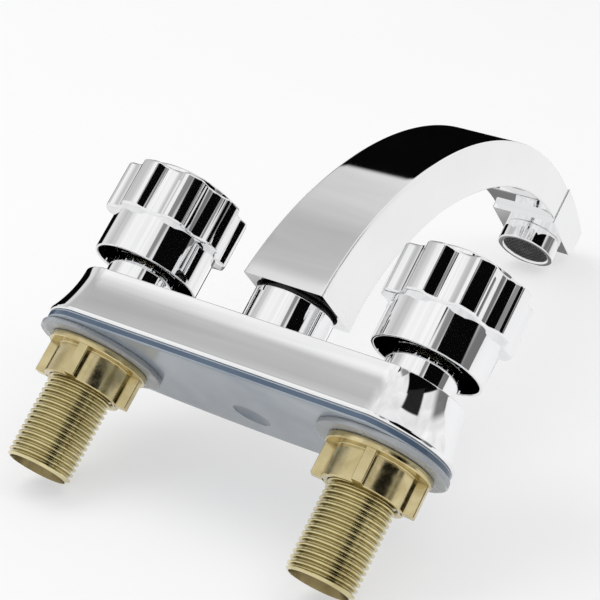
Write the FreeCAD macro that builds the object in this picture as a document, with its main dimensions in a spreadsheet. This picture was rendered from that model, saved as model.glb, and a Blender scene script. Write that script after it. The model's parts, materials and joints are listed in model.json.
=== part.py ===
import FreeCAD, Part
import enum
import math
import os
import Sketcher

# Two-handle deck faucet with an arched spout, in millimetres.
# The origin is on the deck face, midway between the two handles: +X to the right, +Z up,
# and the spout reaches out along -Y.

DRIVING_SIZES = {
    # deck plan
    "handle_spacing": 101.6,
    "spout_setback": 5.2,
    "back_edge": 22.7,
    "front_edge": 28.4,
    "end_round": 24.6,
    "end_centre_in": 5.0,
    "end_centre_back": -0.9,
    # base plate and body
    "plate_thick": 2.5,
    "plate_inset": 0.4,
    "plate_chamfer": 0.6,
    "plate_dimple_round": 6.2,
    "plate_dimple_deep": 1.8,
    "plate_dimple_ahead": 6.8,
    "lip_high": 1.2,
    "lip_round": 0.5,
    "cove_high": 15.8,
    "cove_flare": 3.8,
    "body_wall": 2.4,
    "body_roof": 2.8,
    "valve_boss_round": 9.3,
    "valve_foot_round": 12.0,
    "valve_foot_floor": 1.0,
    "spout_boss_round": 14.4,
    "duct_width": 10.0,
    "duct_high": 10.0,
    "duct_bore_round": 3.0,
    "duct_level": 11.2,
    # inlet shanks, lock nuts and washers
    "shank_round": 10.4775,
    "shank_bore_round": 8.3,
    "shank_below": 41.3,
    "shank_socket_deep": 4.5,
    "shank_relief": 0.25,
    "shank_chamfer": 0.9,
    "washer_round": 20.5,
    "washer_thick": 1.8,
    "nut_flange_round": 16.3,
    "nut_flange_thick": 2.2,
    "nut_hub_round": 12.7,
    "nut_high": 12.3,
    "nut_lug_round": 15.9,
    "nut_lug_thick": 3.4,
    # cartridges
    "chamber_round": 7.9,
    "chamber_deep": 10.3,
    "shell_wall": 1.5,
    "shell_neck_round": 7.5,
    "shell_neck_high": 12.0,
    "hex_round": 9.9,
    "hex_high": 5.2,
    "seal_thick": 2.0,
    "seal_bore_round": 4.8,
    "disc_thick": 2.5,
    "disc_port_round": 1.7,
    "disc_port_out": 3.6,
    "disc_notch_round": 2.2,
    "tongue_width": 3.0,
    "tongue_high": 0.9,
    "stem_round": 4.0,
    "stem_square": 5.6,
    "stem_square_high": 9.5,
    "stem_seal_up": 8.0,
    "seal_half": 0.58,
    # bonnets
    "bonnet_round": 11.1,
    "bonnet_wall": 0.9,
    "bonnet_high": 10.0,
    "bonnet_chamfer": 0.7,
    # knobs
    "skirt_round": 17.4,
    "skirt_wall": 1.2,
    "skirt_gap": 8.3,
    "skirt_high": 13.2,
    "crown_round": 20.9,
    "crown_high": 16.2,
    "crown_chamfer": 0.9,
    "flute_round": 7.0,
    "flute_deep": 2.7,
    "lobe_fillet": 2.2,
    "knob_roof": 5.0,
    "knob_boss_round": 6.8,
    "cap_round": 16.0,
    "cap_seat_deep": 2.4,
    "cap_rim_high": 1.9,
    "cap_dome_high": 1.8,
    "screw_round": 1.95,
    "screw_head_round": 3.6,
    "screw_head_high": 2.4,
    "screw_grip": 9.0,
    # spout collar and tail
    "collar_round": 13.1,
    "collar_band_step": 0.5,
    "collar_band_high": 4.2,
    "collar_gap": 16.4,
    "recess_round": 13.5,
    "recess_deep": 3.5,
    "slip_ring_thick": 0.8,
    "tail_round": 9.0,
    "tail_wall": 2.6,
    "tail_socket_deep": 10.0,
    "tail_groove_deep": 1.3,
    "clip_thick": 0.9,
    "clip_gap": 5.0,
    # arched spout
    "spout_reach": 127.0,
    "arch_rise": 105.6,
    "arch_depth_base": 24.8,
    "arch_depth_tip": 12.6,
    "arch_width_base": 28.4,
    "arch_width_tip": 24.5,
    "arch_round": 0.7,
    "spout_wall": 2.4,
    "head_back": 15.0,
    "head_nose": 12.0,
    "head_high": 14.8,
    "head_drop": 3.6,
    "head_step": 0.35,
    "head_chamfer": 2.4,
    # aerator
    "aerator_round": 10.9,
    "aerator_proud": 7.2,
    "aerator_thread_round": 10.2,
    "aerator_thread_high": 7.0,
    "aerator_wall": 1.5,
    "aerator_washer_thick": 1.1,
    "screen_inset": 0.9,
    "screen_thick": 1.0,
    "screen_hole_round": 0.95,
    "screen_hole_pitch": 3.1,
    # clearances
    "running_gap": 0.06,
    "slip_gap": 0.1,
    "loose_gap": 0.4,
    "axial_gap": 0.3,
}

# Shape values that aren't lengths.
COVE_STATIONS = (1.0, 0.8, 0.6, 0.35, 0.0)
COVE_POWER = 2
ARCH_STATIONS = 10
ARCH_FULLNESS = 0.873
ARCH_THINNING = 0.75
ARCH_NARROWING = 3
KNOB_LOBES = 8
KNOB_LOBE_TURN = 12.0
NUT_LUGS = 4
NUT_LUG_TURN = 15.0
SCREEN_RINGS = 2

FULL_TURN = 360.0


class Spot(enum.IntEnum):
    """Numbers by which a sketch knows a point of a line or arc."""

    START = 1
    END = 2
    CENTRE = 3


class Axis(enum.IntEnum):
    """Numbers by which a sketch knows its own two axes. The first one starts at the origin."""

    ACROSS = -1
    UPRIGHT = -2


START, END, CENTRE = Spot
H_AXIS, V_AXIS = Axis
ORIGIN = H_AXIS


class Size:
    """A length that carries its number and the sheet formula that drives it."""

    def __init__(self, value, formula):
        self.value = value
        self.formula = formula

    def __add__(self, other):
        other = sized(other)
        return Size(self.value + other.value, f"({self.formula} + {other.formula})")

    def __sub__(self, other):
        other = sized(other)
        return Size(self.value - other.value, f"({self.formula} - {other.formula})")

    def __mul__(self, other):
        other = sized(other)
        return Size(self.value * other.value, f"({self.formula} * {other.formula})")

    def __truediv__(self, other):
        other = sized(other)
        return Size(self.value / other.value, f"({self.formula} / {other.formula})")

    def __neg__(self):
        return Size(-self.value, f"(-1 * {self.formula})")


def sized(item):
    """Return item as a Size, whether it is one already or a plain number."""
    if isinstance(item, Size):
        return item
    return Size(float(item), f"({float(item):.9f})")


def arc_tangent(ratio):
    """Angle in degrees whose tangent is ratio."""
    return Size(math.degrees(math.atan(ratio.value)), f"atan({ratio.formula})")


def make_sheet(doc):
    """Write the driving sizes into the sheet and return them as bound sizes."""
    sheet = doc.addObject("Spreadsheet::Sheet", "Sizes")
    sizes = {}
    for row, (name, value) in enumerate(DRIVING_SIZES.items(), start=1):
        sheet.set(f"A{row}", name)
        sheet.set(f"B{row}", str(value))
        sheet.setAlias(f"B{row}", name)
        sizes[name] = Size(value, f"Sizes.{name}")
    return sizes


def bind(item, path, size):
    """Drive a property of item from the sheet."""
    item.setExpression(path, sized(size).formula)


def new_body(name):
    """Add an empty body that is written out under its own name."""
    body = DOC.addObject("PartDesign::Body", name)
    body.Label = name
    return body


def place(body, across=0, back=0, up=0):
    """Move a body to its place in the part."""
    for axis, size in (("x", across), ("y", back), ("z", up)):
        bind(body, f"Placement.Base.{axis}", size)


def new_sketch(body, name, role="XY_Plane", lift=0, along=0, tilt=None):
    """Add a sketch on one of the body's own origin planes, lifted along its normal."""
    sketch = body.newObject("Sketcher::SketchObject", name)
    plane = next(item for item in body.Origin.OriginFeatures if item.Role == role)
    sketch.AttachmentSupport = [(plane, "")]
    sketch.MapMode = "FlatFace"
    lift = sized(lift)
    along = sized(along)
    turn = 0.0 if tilt is None else tilt.value
    base = FreeCAD.Vector(0, along.value, lift.value)
    sketch.AttachmentOffset = FreeCAD.Placement(base, FreeCAD.Rotation(FreeCAD.Vector(1, 0, 0), turn))
    bind(sketch, "AttachmentOffset.Base.y", along)
    bind(sketch, "AttachmentOffset.Base.z", lift)
    if tilt is not None:
        bind(sketch, "AttachmentOffset.Rotation.Angle", tilt)
    return sketch


def constrain(sketch, size, *terms):
    """Add one dimension to a sketch and drive it from the sheet."""
    number = sketch.addConstraint(Sketcher.Constraint(*terms, size.value))
    bind(sketch, f"Constraints[{number}]", size)


def pin(sketch, geometry, vertex, across, up):
    """Hold one vertex at a place measured from the sketch's origin."""
    for kind, axis, size in (("DistanceX", V_AXIS, across), ("DistanceY", H_AXIS, up)):
        if isinstance(size, (int, float)) and size == 0:
            sketch.addConstraint(Sketcher.Constraint("PointOnObject", geometry, vertex, axis))
        else:
            constrain(sketch, sized(size), kind, ORIGIN, START, geometry, vertex)


def flat(across, up):
    """Point of a sketch plane as a vector."""
    return FreeCAD.Vector(sized(across).value, sized(up).value, 0)


def add_circle(sketch, radius, across=0, up=0):
    """Draw a circle with a driven radius and centre."""
    radius = sized(radius)
    shape = Part.Circle(flat(across, up), FreeCAD.Vector(0, 0, 1), radius.value)
    number = sketch.addGeometry(shape, False)
    pin(sketch, number, CENTRE, across, up)
    constrain(sketch, radius, "Radius", number)


def add_loop(sketch, points):
    """Draw a closed run of straight lines through driven points."""
    first = sketch.GeometryCount
    count = len(points)
    for index, start in enumerate(points):
        end = points[(index + 1) % count]
        sketch.addGeometry(Part.LineSegment(flat(*start), flat(*end)), False)
    for index, point in enumerate(points):
        following = (index + 1) % count
        sketch.addConstraint(Sketcher.Constraint("Coincident", first + index, END, first + following, START))
        pin(sketch, first + index, START, *point)


def add_rectangle(sketch, left, bottom, right, top):
    """Draw a driven rectangle."""
    add_loop(sketch, [(left, bottom), (right, bottom), (right, top), (left, top)])


def turn(body, points, name="turned"):
    """Revolve a profile of (radius, height) points about the body's Z axis."""
    sketch = new_sketch(body, f"{name}_profile", "XZ_Plane")
    add_loop(sketch, points)
    return revolve(body, sketch, name)


def revolve(body, sketch, name, kind="Revolution"):
    """Turn a sketch through a full circle about its vertical axis."""
    feature = body.newObject(f"PartDesign::{kind}", name)
    feature.Profile = sketch
    feature.ReferenceAxis = (sketch, ["V_Axis"])
    feature.Angle = FULL_TURN
    sketch.Visibility = False
    return feature


def pad(body, sketch, length, name, middle=False):
    """Grow a sketch along its normal."""
    feature = body.newObject("PartDesign::Pad", name)
    feature.Profile = sketch
    bind(feature, "Length", length)
    feature.Midplane = middle
    return feature


def pocket(body, sketch, length, name, up=False, middle=False):
    """Cut a sketch downwards, or upwards where up is set."""
    feature = body.newObject("PartDesign::Pocket", name)
    feature.Profile = sketch
    bind(feature, "Length", length)
    feature.Reversed = up
    feature.Midplane = middle
    return feature


def pattern_round(body, feature, count, name):
    """Repeat a feature evenly about the body's Z axis."""
    pattern = body.newObject("PartDesign::PolarPattern", name)
    pattern.Originals = [feature]
    pattern.Axis = (next(item for item in body.Origin.OriginFeatures if item.Role == "Z_Axis"), [""])
    pattern.Angle = FULL_TURN
    pattern.Occurrences = count
    body.Tip = pattern
    return pattern


def soften(body, feature, chosen, size, name, kind="Fillet"):
    """Round or bevel the edges of feature that the chosen test picks."""
    DOC.recompute()
    edges = [f"Edge{number}" for number, edge in enumerate(feature.Shape.Edges, start=1) if chosen(edge)]
    soft = body.newObject(f"PartDesign::{kind}", name)
    soft.Base = (feature, edges)
    bind(soft, "Radius" if kind == "Fillet" else "Size", size)
    return soft


def level_edge(height):
    """Test for edges that lie flat at one height."""
    def chosen(edge):
        box = edge.BoundBox
        return abs(box.ZMin - height) < 0.01 and abs(box.ZMax - height) < 0.01
    return chosen


def add_rounded_rectangle(sketch, half_width, half_depth, radius):
    """Draw a driven rectangle about the sketch's origin, with round corners."""
    first = sketch.GeometryCount
    upright = FreeCAD.Vector(0, 0, 1)
    across = half_width - radius
    up = half_depth - radius
    corners = [(across, up), (-across, up), (-across, -up), (across, -up)]
    for index, centre in enumerate(corners):
        circle = Part.Circle(flat(*centre), upright, radius.value)
        begin = index * math.pi / 2
        sketch.addGeometry(Part.ArcOfCircle(circle, begin, begin + math.pi / 2), False)
    for index in range(4):
        arc_end = sketch.Geometry[first + index].EndPoint
        arc_start = sketch.Geometry[first + (index + 1) % 4].StartPoint
        sketch.addGeometry(Part.LineSegment(arc_end, arc_start), False)
    for index, centre in enumerate(corners):
        arc = first + index
        line = first + 4 + index
        next_arc = first + (index + 1) % 4
        pin(sketch, arc, CENTRE, *centre)
        constrain(sketch, radius, "Radius", arc)
        sketch.addConstraint(Sketcher.Constraint("Tangent", arc, END, line, START))
        sketch.addConstraint(Sketcher.Constraint("Tangent", line, END, next_arc, START))


def plan_outline(sketch, inset):
    """Draw the deck plan: straight back, round ends and a bowed front, drawn in by inset."""
    inset = sized(inset)
    out = HALF_SPACING - S["end_centre_in"]
    back = S["end_centre_back"]
    end_radius = S["end_round"] - inset
    back_line = S["back_edge"] - inset
    reach = S["front_edge"] - S["end_round"]
    front_centre = (out * out + back * back - reach * reach) / ((reach + back) * 2)
    front_radius = front_centre + S["front_edge"] - inset

    corner_rise = back_line.value - back.value
    corner_out = out.value + math.sqrt(end_radius.value ** 2 - corner_rise ** 2)
    corner_angle = math.atan2(corner_rise, corner_out - out.value)
    join_angle = math.atan2(back.value - front_centre.value, out.value)
    upright = FreeCAD.Vector(0, 0, 1)
    right_circle = Part.Circle(flat(out, back), upright, end_radius.value)
    left_circle = Part.Circle(flat(-out, back), upright, end_radius.value)
    front_circle = Part.Circle(flat(0, front_centre), upright, front_radius.value)
    line = Part.LineSegment(flat(-corner_out, back_line), flat(corner_out, back_line))
    sketch.addGeometry(line, False)
    sketch.addGeometry(Part.ArcOfCircle(right_circle, join_angle, corner_angle), False)
    sketch.addGeometry(Part.ArcOfCircle(front_circle, math.pi - join_angle - FULL_CIRCLE, join_angle), False)
    sketch.addGeometry(
        Part.ArcOfCircle(left_circle, math.pi - corner_angle, math.pi - join_angle), False)

    back_run, right_end, front_run, left_end = range(4)
    sketch.addConstraint(Sketcher.Constraint("Horizontal", back_run))
    sketch.addConstraint(Sketcher.Constraint("Coincident", back_run, END, right_end, END))
    sketch.addConstraint(Sketcher.Constraint("Coincident", back_run, START, left_end, START))
    sketch.addConstraint(Sketcher.Constraint("Tangent", right_end, START, front_run, END))
    sketch.addConstraint(Sketcher.Constraint("Tangent", left_end, END, front_run, START))
    constrain(sketch, back_line, "DistanceY", ORIGIN, START, back_run, START)
    pin(sketch, right_end, CENTRE, out, back)
    pin(sketch, left_end, CENTRE, -out, back)
    constrain(sketch, end_radius, "Radius", right_end)
    constrain(sketch, end_radius, "Radius", left_end)
    constrain(sketch, front_radius, "Radius", front_run)


def make_base_plate():
    """Plate between the body and the deck, with two shank holes and a round dimple."""
    body = new_body("base_plate")
    sketch = new_sketch(body, "plate_outline")
    plan_outline(sketch, S["plate_inset"])
    plate = pad(body, sketch, S["plate_thick"], "plate")
    plate = soften(body, plate, level_edge(0.0), S["plate_chamfer"], "plate_bevel", "Chamfer")
    holes = new_sketch(body, "shank_holes")
    for side in SIDES.values():
        add_circle(holes, S["shank_round"] + S["loose_gap"], HALF_SPACING * side)
    pocket(body, holes, S["plate_thick"], "shank_hole_cut", up=True)
    dimple = new_sketch(body, "dimple_circle")
    add_circle(dimple, S["plate_dimple_round"], 0, -(S["spout_setback"] + S["plate_dimple_ahead"]))
    pocket(body, dimple, S["plate_dimple_deep"], "dimple_cut", up=True)


def make_body_casting():
    """Hollow body with a flared skirt, two valve bosses, a spout boss and a cross duct."""
    body = new_body("body_casting")
    base = S["plate_thick"]

    lip_sketch = new_sketch(body, "lip_outline", lift=base)
    plan_outline(lip_sketch, 0)
    lip = pad(body, lip_sketch, S["lip_high"], "lip")

    sections = []
    for station in COVE_STATIONS:
        height = base + S["lip_high"] + S["cove_high"] * (1 - station)
        section = new_sketch(body, f"cove_{len(sections)}", lift=height)
        plan_outline(section, S["cove_flare"] * (1 - station ** COVE_POWER))
        sections.append(section)
    cove = body.newObject("PartDesign::AdditiveLoft", "cove")
    cove.Profile = sections[0]
    cove.Sections = sections[1:]
    cove.Ruled = False
    soft = soften(body, cove, level_edge(base.value), S["lip_round"], "lip_rounding")

    inner = new_sketch(body, "hollow_outline", lift=base)
    plan_outline(inner, S["cove_flare"] + S["body_wall"])
    inner_high = BODY_HIGH - S["body_roof"]
    pocket(body, inner, inner_high, "hollow", up=True)

    valve_bosses = new_sketch(body, "valve_boss_circles", lift=base + FOOT_HIGH)
    for side in SIDES.values():
        add_circle(valve_bosses, S["valve_boss_round"], HALF_SPACING * side)
    pad(body, valve_bosses, inner_high + S["body_roof"] / 2 - FOOT_HIGH, "valve_bosses")
    spout_boss = new_sketch(body, "spout_boss_circle", lift=base)
    add_circle(spout_boss, S["spout_boss_round"], 0, -S["spout_setback"])
    pad(body, spout_boss, inner_high + S["body_roof"] / 2, "spout_boss")

    duct = new_sketch(body, "duct_bar", lift=base + S["duct_level"] - S["duct_high"] / 2)
    half_duct = S["duct_width"] / 2
    add_rectangle(duct, -HALF_SPACING, -half_duct, HALF_SPACING, half_duct)
    pad(body, duct, S["duct_high"], "duct")

    chambers = new_sketch(body, "chamber_circles", lift=BODY_TOP)
    for side in SIDES.values():
        add_circle(chambers, S["chamber_round"], HALF_SPACING * side)
    pocket(body, chambers, S["chamber_deep"], "chambers")
    ports = new_sketch(body, "port_circles", lift=BODY_TOP)
    for side in SIDES.values():
        add_circle(ports, S["seal_bore_round"], HALF_SPACING * side)
    pocket(body, ports, BODY_HIGH, "ports")

    bore = new_sketch(body, "tail_circle", lift=BODY_TOP)
    add_circle(bore, S["tail_round"] + S["running_gap"], 0, -S["spout_setback"])
    pocket(body, bore, BODY_HIGH, "tail_bore")
    counter = new_sketch(body, "clip_circle", lift=base)
    add_circle(counter, S["tail_round"] + S["clip_gap"] - S["body_wall"], 0, -S["spout_setback"])
    pocket(body, counter, CLIP_ROOM, "clip_room", up=True)
    duct_bore = new_sketch(body, "duct_circle", "YZ_Plane")
    add_circle(duct_bore, S["duct_bore_round"], 0, base + S["duct_level"])
    pocket(body, duct_bore, S["handle_spacing"], "duct_bore", middle=True)


def make_inlet_socket(hand, side):
    """Cup below a valve boss that holds the top of the shank, with a port in its floor."""
    body = new_body(f"{hand}_inlet_socket")
    outer = S["valve_foot_round"]
    inner = S["shank_round"] - S["shank_relief"] + S["slip_gap"]
    port = S["seal_bore_round"]
    base = S["plate_thick"]
    floor = base + S["shank_socket_deep"]
    top = base + FOOT_HIGH
    turn(body, [(inner, base), (outer, base), (outer, top), (port, top), (port, floor), (inner, floor)])
    place(body, HALF_SPACING * side)


def make_inlet_shank(hand, side):
    """Brass inlet tube, full size along its free end and slightly relieved above."""
    body = new_body(f"{hand}_inlet_shank")
    radius = S["shank_round"]
    relieved = radius - S["shank_relief"]
    bore = S["shank_bore_round"]
    bevel = S["shank_chamfer"]
    bottom = -S["shank_below"]
    top = S["plate_thick"] + S["shank_socket_deep"]
    step = -(S["washer_thick"] + S["nut_high"])
    turn(body, [
        (bore + bevel, bottom), (radius - bevel, bottom), (radius, bottom + bevel),
        (radius, step), (relieved, step), (relieved, top), (bore, top), (bore, bottom + bevel)])
    place(body, HALF_SPACING * side)


def make_washer(hand, side):
    """Round washer that slides on the shank."""
    body = new_body(f"{hand}_washer")
    outer = S["washer_round"]
    inner = S["shank_round"] + S["loose_gap"]
    bevel = S["loose_gap"]
    bottom = -S["washer_thick"]
    turn(body, [
        (inner, bottom), (outer - bevel, bottom), (outer, bottom + bevel),
        (outer, -bevel), (outer - bevel, 0), (inner, 0)])
    place(body, HALF_SPACING * side)


def make_lock_nut(hand, side):
    """Flanged lock nut with four lugs for fingers or a basin wrench."""
    body = new_body(f"{hand}_lock_nut")
    inner = S["shank_round"] + S["running_gap"]
    bottom = -S["nut_high"]
    under = -S["nut_flange_thick"]
    turn(body, [
        (inner, bottom), (S["nut_hub_round"], bottom), (S["nut_hub_round"], under),
        (S["nut_flange_round"], under), (S["nut_flange_round"], 0), (inner, 0)])
    lug = new_sketch(body, "lug_outline", lift=bottom)
    half = S["nut_lug_thick"] / 2
    middle_of_wall = (inner + S["nut_hub_round"]) / 2
    add_rectangle(lug, middle_of_wall, -half, S["nut_lug_round"], half)
    lug_pad = pad(body, lug, S["nut_high"] - S["nut_flange_thick"] / 2, "lug")
    pattern_round(body, lug_pad, NUT_LUGS, "lugs")
    place(body, HALF_SPACING * side, 0, -S["washer_thick"])
    body.Placement = FreeCAD.Placement(
        body.Placement.Base, FreeCAD.Rotation(FreeCAD.Vector(0, 0, 1), NUT_LUG_TURN))


def make_cartridge_shell(hand, side):
    """Brass housing that screws into the valve chamber, with a hexagon and a neck."""
    body = new_body(f"{hand}_cartridge_shell")
    outer = S["chamber_round"] - S["slip_gap"]
    inner = outer - S["shell_wall"]
    stem_bore = S["stem_round"] + S["running_gap"]
    floor = -S["chamber_deep"]
    neck = S["shell_neck_round"]
    turn(body, [
        (inner, floor), (outer, floor), (outer, 0), (neck, 0), (neck, S["shell_neck_high"]),
        (stem_bore, S["shell_neck_high"]), (stem_bore, SHOULDER), (inner, SHOULDER)])
    hexagon = new_sketch(body, "hexagon")
    corners = []
    for corner in range(6):
        angle = math.radians(60 * corner)
        across = S["hex_round"] * math.cos(angle)
        corners.append((across, S["hex_round"] * math.sin(angle) if corner % 3 else 0))
    add_loop(hexagon, corners)
    add_circle(hexagon, (neck + stem_bore) / 2)
    pad(body, hexagon, S["hex_high"], "hexagon_pad")
    window = new_sketch(body, "window_outline", "YZ_Plane")
    half = S["duct_bore_round"]
    level = S["duct_level"] + S["plate_thick"] - BODY_TOP
    add_rectangle(window, -half, level - half / 2, half, level + half / 2)
    pocket(body, window, S["chamber_round"] * 2, "windows", middle=True)
    place(body, HALF_SPACING * side, 0, BODY_TOP)


def make_seat_seal(hand, side):
    """Rubber ring that seals the fixed disc to the floor of the chamber."""
    body = new_body(f"{hand}_seat_seal")
    inner = S["seal_bore_round"]
    floor = -S["chamber_deep"]
    turn(body, [
        (inner, floor), (DISC_ROUND, floor), (DISC_ROUND, SEAL_TOP), (inner, SEAL_TOP)])
    place(body, HALF_SPACING * side, 0, BODY_TOP)


def make_fixed_disc(hand, side):
    """Ceramic disc with two round ports, one ahead of the other."""
    body = new_body(f"{hand}_fixed_disc")
    sketch = new_sketch(body, "disc_outline", lift=SEAL_TOP)
    add_circle(sketch, DISC_ROUND)
    for way in (-1, 1):
        add_circle(sketch, S["disc_port_round"], 0, S["disc_port_out"] * way)
    pad(body, sketch, S["disc_thick"], "disc")
    place(body, HALF_SPACING * side, 0, BODY_TOP)


def make_moving_disc(hand, side):
    """Turning ceramic disc, notched at both sides, with a slot for the stem's tongue."""
    body = new_body(f"{hand}_moving_disc")
    sketch = new_sketch(body, "disc_outline", lift=FIXED_DISC_TOP)
    add_circle(sketch, DISC_ROUND)
    pad(body, sketch, S["disc_thick"], "disc")
    notches = new_sketch(body, "notch_circles", lift=MOVING_DISC_TOP)
    for way in (-1, 1):
        add_circle(notches, S["disc_notch_round"], (DISC_ROUND - S["disc_notch_round"] / 2) * way)
    pocket(body, notches, S["disc_thick"], "notches")
    slot = new_sketch(body, "slot_outline", lift=MOVING_DISC_TOP)
    half = S["tongue_width"] / 2
    add_rectangle(slot, -half, -DISC_ROUND, half, DISC_ROUND)
    pocket(body, slot, S["tongue_high"] + S["slip_gap"], "slot")
    place(body, HALF_SPACING * side, 0, BODY_TOP)


def make_stem(hand, side):
    """Brass stem with a foot and tongue below, a seal groove and a square top."""
    body = new_body(f"{hand}_stem")
    foot = DISC_ROUND - S["slip_gap"]
    shaft = S["stem_round"]
    groove = SEAL_RING_ROUND - S["seal_half"] - S["running_gap"]
    groove_half = S["seal_half"] + S["slip_gap"]
    groove_low = S["stem_seal_up"] - groove_half
    groove_high = S["stem_seal_up"] + groove_half
    foot_top = SHOULDER - S["slip_gap"]
    turn(body, [
        (0, MOVING_DISC_TOP), (foot, MOVING_DISC_TOP), (foot, foot_top), (shaft, foot_top),
        (shaft, groove_low), (groove, groove_low), (groove, groove_high), (shaft, groove_high),
        (shaft, STEM_SHAFT_TOP), (0, STEM_SHAFT_TOP)])
    tongue = new_sketch(body, "tongue_outline", lift=MOVING_DISC_TOP - S["tongue_high"])
    half = S["tongue_width"] / 2 - S["slip_gap"]
    long_half = foot - S["slip_gap"]
    add_rectangle(tongue, -half, -long_half, half, long_half)
    pad(body, tongue, S["tongue_high"] * 2, "tongue")
    square = new_sketch(body, "square_outline", lift=STEM_SHAFT_TOP)
    side_half = S["stem_square"] / 2
    add_rectangle(square, -side_half, -side_half, side_half, side_half)
    pad(body, square, S["stem_square_high"], "square")
    hole = new_sketch(body, "screw_circle", lift=STEM_TOP)
    add_circle(hole, S["screw_round"] + S["running_gap"])
    pocket(body, hole, S["screw_grip"], "screw_hole")
    place(body, HALF_SPACING * side, 0, BODY_TOP)


def make_ring(name, half, radius, heights):
    """One or more rubber rings with a square section, each turned about Z."""
    body = new_body(name)
    for number, height in enumerate(heights):
        low = height - half
        high = height + half
        turn(body, [(radius - half, low), (radius + half, low), (radius + half, high), (radius - half, high)],
             f"ring_{number}")
    return body


def make_bonnet(hand, side):
    """Chromed collar over the cartridge's hexagon."""
    body = new_body(f"{hand}_bonnet")
    outer = S["bonnet_round"]
    inner = outer - S["bonnet_wall"]
    neck = S["shell_neck_round"] + S["slip_gap"]
    top = S["bonnet_high"]
    bevel = S["bonnet_chamfer"]
    under = top - S["bonnet_wall"]
    turn(body, [
        (inner, 0), (outer, 0), (outer, top - bevel), (outer - bevel, top),
        (neck, top), (neck, under), (inner, under)])
    place(body, HALF_SPACING * side, 0, BODY_TOP)


def make_knob(hand, side):
    """Fluted crown over a round skirt, hollow below, with a square socket and a cap seat."""
    body = new_body(f"{hand}_knob")
    skirt_sketch = new_sketch(body, "skirt_circle", lift=S["skirt_gap"])
    add_circle(skirt_sketch, S["skirt_round"])
    pad(body, skirt_sketch, S["skirt_high"], "skirt")
    crown_sketch = new_sketch(body, "crown_circle", lift=CROWN_BOTTOM)
    add_circle(crown_sketch, S["crown_round"])
    pad(body, crown_sketch, S["crown_high"], "crown")

    flute = new_sketch(body, "flute_circle", lift=CROWN_TOP)
    flute_out = S["crown_round"] + S["flute_round"] - S["flute_deep"]
    lobe_turn = math.radians(KNOB_LOBE_TURN)
    add_circle(flute, S["flute_round"], flute_out * math.cos(lobe_turn), flute_out * math.sin(lobe_turn))
    flute_cut = pocket(body, flute, S["crown_high"], "flute")
    flutes = pattern_round(body, flute_cut, KNOB_LOBES, "flutes")
    crown_middle = (CROWN_BOTTOM.value + CROWN_TOP.value) / 2

    def ridge(edge):
        box = edge.BoundBox
        upright = box.XLength < 0.01 and box.YLength < 0.01 and box.ZLength > 1.0
        return upright and box.ZMin < crown_middle < box.ZMax and box.Center.distanceToPoint(
            FreeCAD.Vector(0, 0, box.Center.z)) > S["crown_round"].value - 0.1

    soften(body, flutes, ridge, S["lobe_fillet"], "lobe_rounding")
    bevel = S["crown_chamfer"]
    outside = S["crown_round"] + bevel
    for number, (height, way) in enumerate(((CROWN_TOP, -1), (CROWN_BOTTOM, 1))):
        edge_sketch = new_sketch(body, f"bevel_{number}", "XZ_Plane")
        inner = S["crown_round"] - bevel
        add_loop(edge_sketch, [(inner, height), (outside, height), (outside, height + bevel * (2 * way))])
        revolve(body, edge_sketch, f"bevel_cut_{number}", "Groove")

    hollow = new_sketch(body, "hollow_circles", lift=S["skirt_gap"])
    add_circle(hollow, S["skirt_round"] - S["skirt_wall"])
    hollow_deep = S["skirt_high"] + S["crown_high"] - S["knob_roof"]
    pocket(body, hollow, hollow_deep, "hollow", up=True)
    boss = new_sketch(body, "boss_circle", lift=BOSS_BOTTOM)
    add_circle(boss, S["knob_boss_round"])
    pad(body, boss, CROWN_TOP - S["cap_seat_deep"] - BOSS_BOTTOM, "boss")
    socket = new_sketch(body, "socket_outline", lift=BOSS_BOTTOM)
    half = S["stem_square"] / 2 + S["slip_gap"]
    add_rectangle(socket, -half, -half, half, half)
    pocket(body, socket, SOCKET_TOP - BOSS_BOTTOM, "socket", up=True)
    seat = new_sketch(body, "cap_seat_circle", lift=CROWN_TOP)
    add_circle(seat, S["cap_round"] + S["slip_gap"])
    pocket(body, seat, S["cap_seat_deep"], "cap_seat")
    well = new_sketch(body, "screw_well_circle", lift=CROWN_TOP)
    add_circle(well, S["screw_head_round"] + S["loose_gap"])
    pocket(body, well, CROWN_TOP - SCREW_SEAT, "screw_well")
    shank = new_sketch(body, "screw_hole_circle", lift=SCREW_SEAT)
    add_circle(shank, S["screw_round"] + S["slip_gap"])
    pocket(body, shank, SCREW_SEAT - SOCKET_TOP, "screw_hole")
    place(body, HALF_SPACING * side, 0, BODY_TOP)


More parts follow.
